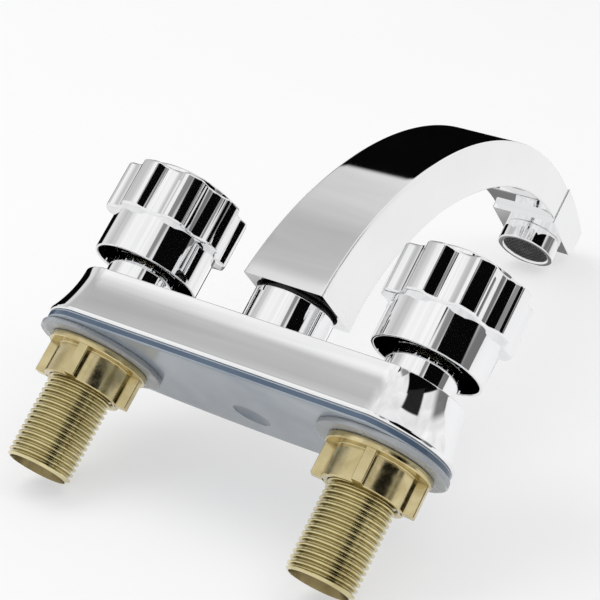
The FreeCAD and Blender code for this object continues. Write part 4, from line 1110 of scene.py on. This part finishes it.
def add_panel(nodes, tone, azimuth, elevation, panel):
    """Lay a panel over the studio's tone so far."""

    def step_up(value, place):
        """Nought below a place and one above it, with a soft edge."""
        return nodes.ranged(value, 0.0, 1.0, place - panel.edge, place + panel.edge,
                            interpolation_type="SMOOTHSTEP")

    def between(value, limits):
        return nodes.maths("SUBTRACT", step_up(value, limits[0]), step_up(value, limits[1]))

    across = between(azimuth, panel.azimuths)
    for way in (-1, 1):
        wrapped = [limit + 360 * way for limit in panel.azimuths]
        if wrapped[0] - panel.edge < 180 and wrapped[1] + panel.edge > -180:
            across = nodes.maths("MAXIMUM", across, between(azimuth, wrapped))
    inside = nodes.maths("MULTIPLY", across, between(elevation, panel.elevations))
    blend = nodes.add("ShaderNodeMix")
    nodes.link(inside, blend.inputs["Factor"])
    nodes.feed(tone, blend.inputs["A"])
    blend.inputs["B"].default_value = panel.tone
    return blend.outputs["Result"]


def studio_colour(nodes):
    """Cloudy pale tone with the panels laid over it, by the direction that a ray takes."""

    def share_along(axis):
        node = nodes.add("ShaderNodeVectorMath", operation="DOT_PRODUCT")
        node.inputs[1].default_value = axis
        nodes.link(nodes.place, node.inputs[0])
        return node.outputs["Value"]

    ahead, right = floor_axes()
    azimuth = nodes.maths("DEGREES", nodes.maths("ARCTAN2", share_along(right), share_along(-ahead)))
    elevation = nodes.maths("DEGREES", nodes.maths("ARCSINE", share_along(FLOOR_UP)))
    tone = STUDIO_TONE
    for panel in STUDIO.values():
        tone = add_panel(nodes, tone, azimuth, elevation, panel)
    cloud = nodes.noise(scale=4.0, detail=4.0, distortion=0.8)
    tone = nodes.maths("MULTIPLY", tone, nodes.ranged(cloud, CLOUD_DARK, CLOUD_LIGHT))
    colour = nodes.add("ShaderNodeCombineColor")
    for name in ("Red", "Green", "Blue"):
        nodes.link(tone, colour.inputs[name])
    return colour.outputs["Color"]


def make_world():
    """Pale studio all round, with dark and light panels that only polished surfaces show."""
    world = bpy.data.worlds.new("studio")
    bpy.context.scene.world = world
    world.use_nodes = True
    nodes = Tree(world.node_tree, "Generated")
    polished = nodes.add("ShaderNodeBackground")
    nodes.link(studio_colour(nodes), polished.inputs["Color"])
    soft = nodes.add("ShaderNodeBackground")
    soft.inputs["Color"].default_value = SOFT_COLOUR
    soft.inputs["Strength"].default_value = SOFT_STRENGTH
    backdrop = nodes.add("ShaderNodeBackground")
    backdrop.inputs["Color"].default_value = BACKDROP_COLOUR
    ray = nodes.add("ShaderNodeLightPath").outputs
    straight = nodes.maths("MAXIMUM", ray["Is Camera Ray"], ray["Is Transmission Ray"])
    around = nodes.mixed(ray["Is Glossy Ray"], soft.outputs["Background"], polished.outputs["Background"])
    whole = nodes.mixed(straight, around, backdrop.outputs["Background"])
    output = nodes.add("ShaderNodeOutputWorld")
    nodes.link(whole, output.inputs["Surface"])


def make_lamp(name, azimuth, elevation, distance, size, watts):
    """Soft lamp aimed at the faucet, which polished surfaces don't mirror."""
    lamp = bpy.data.lights.new(name, "AREA")
    lamp.shape = "RECTANGLE"
    lamp.size = size
    lamp.size_y = size * LAMP_PROPORTION
    lamp.energy = watts
    holder = bpy.data.objects.new(name, lamp)
    bpy.context.scene.collection.objects.link(holder)
    towards = from_floor(azimuth, elevation)
    right = towards.cross(CAMERA_AHEAD).normalized()
    holder.matrix_world = turned_to(right, towards.cross(right), LAMP_AIM + towards * distance)
    holder.visible_glossy = False


def make_camera():
    """Camera at the photograph's place and angle."""
    lens = bpy.data.cameras.new("camera")
    lens.sensor_width = SENSOR_WIDTH
    lens.lens = FOCAL_PIXELS / PICTURE_WIDTH * SENSOR_WIDTH
    lens.clip_start = 0.01
    lens.clip_end = 20.0
    camera = bpy.data.objects.new("camera", lens)
    bpy.context.scene.collection.objects.link(camera)
    camera.matrix_world = turned_to(CAMERA_RIGHT, -CAMERA_DOWN, CAMERA_PLACE)
    bpy.context.scene.camera = camera


dress_nodes()
make_body()
make_plate()
for hand, side in SIDES.items():
    make_shank(hand, side)
    make_washer(hand, side)
    make_nut(hand, side)
    make_knob(hand, side)
    make_cap(hand, side)
    make_bonnet(hand, side)
make_collar()
make_slip_ring()
make_spout()
make_aerator()
make_screen()

make_floor()
make_world()
make_lamp("key", azimuth=-110.0, elevation=55.0, distance=1.1, size=0.9, watts=6.0)
make_lamp("fill", azimuth=60.0, elevation=60.0, distance=1.3, size=0.8, watts=3.2)
make_camera()
bpy.context.scene.view_settings.view_transform = "Standard"
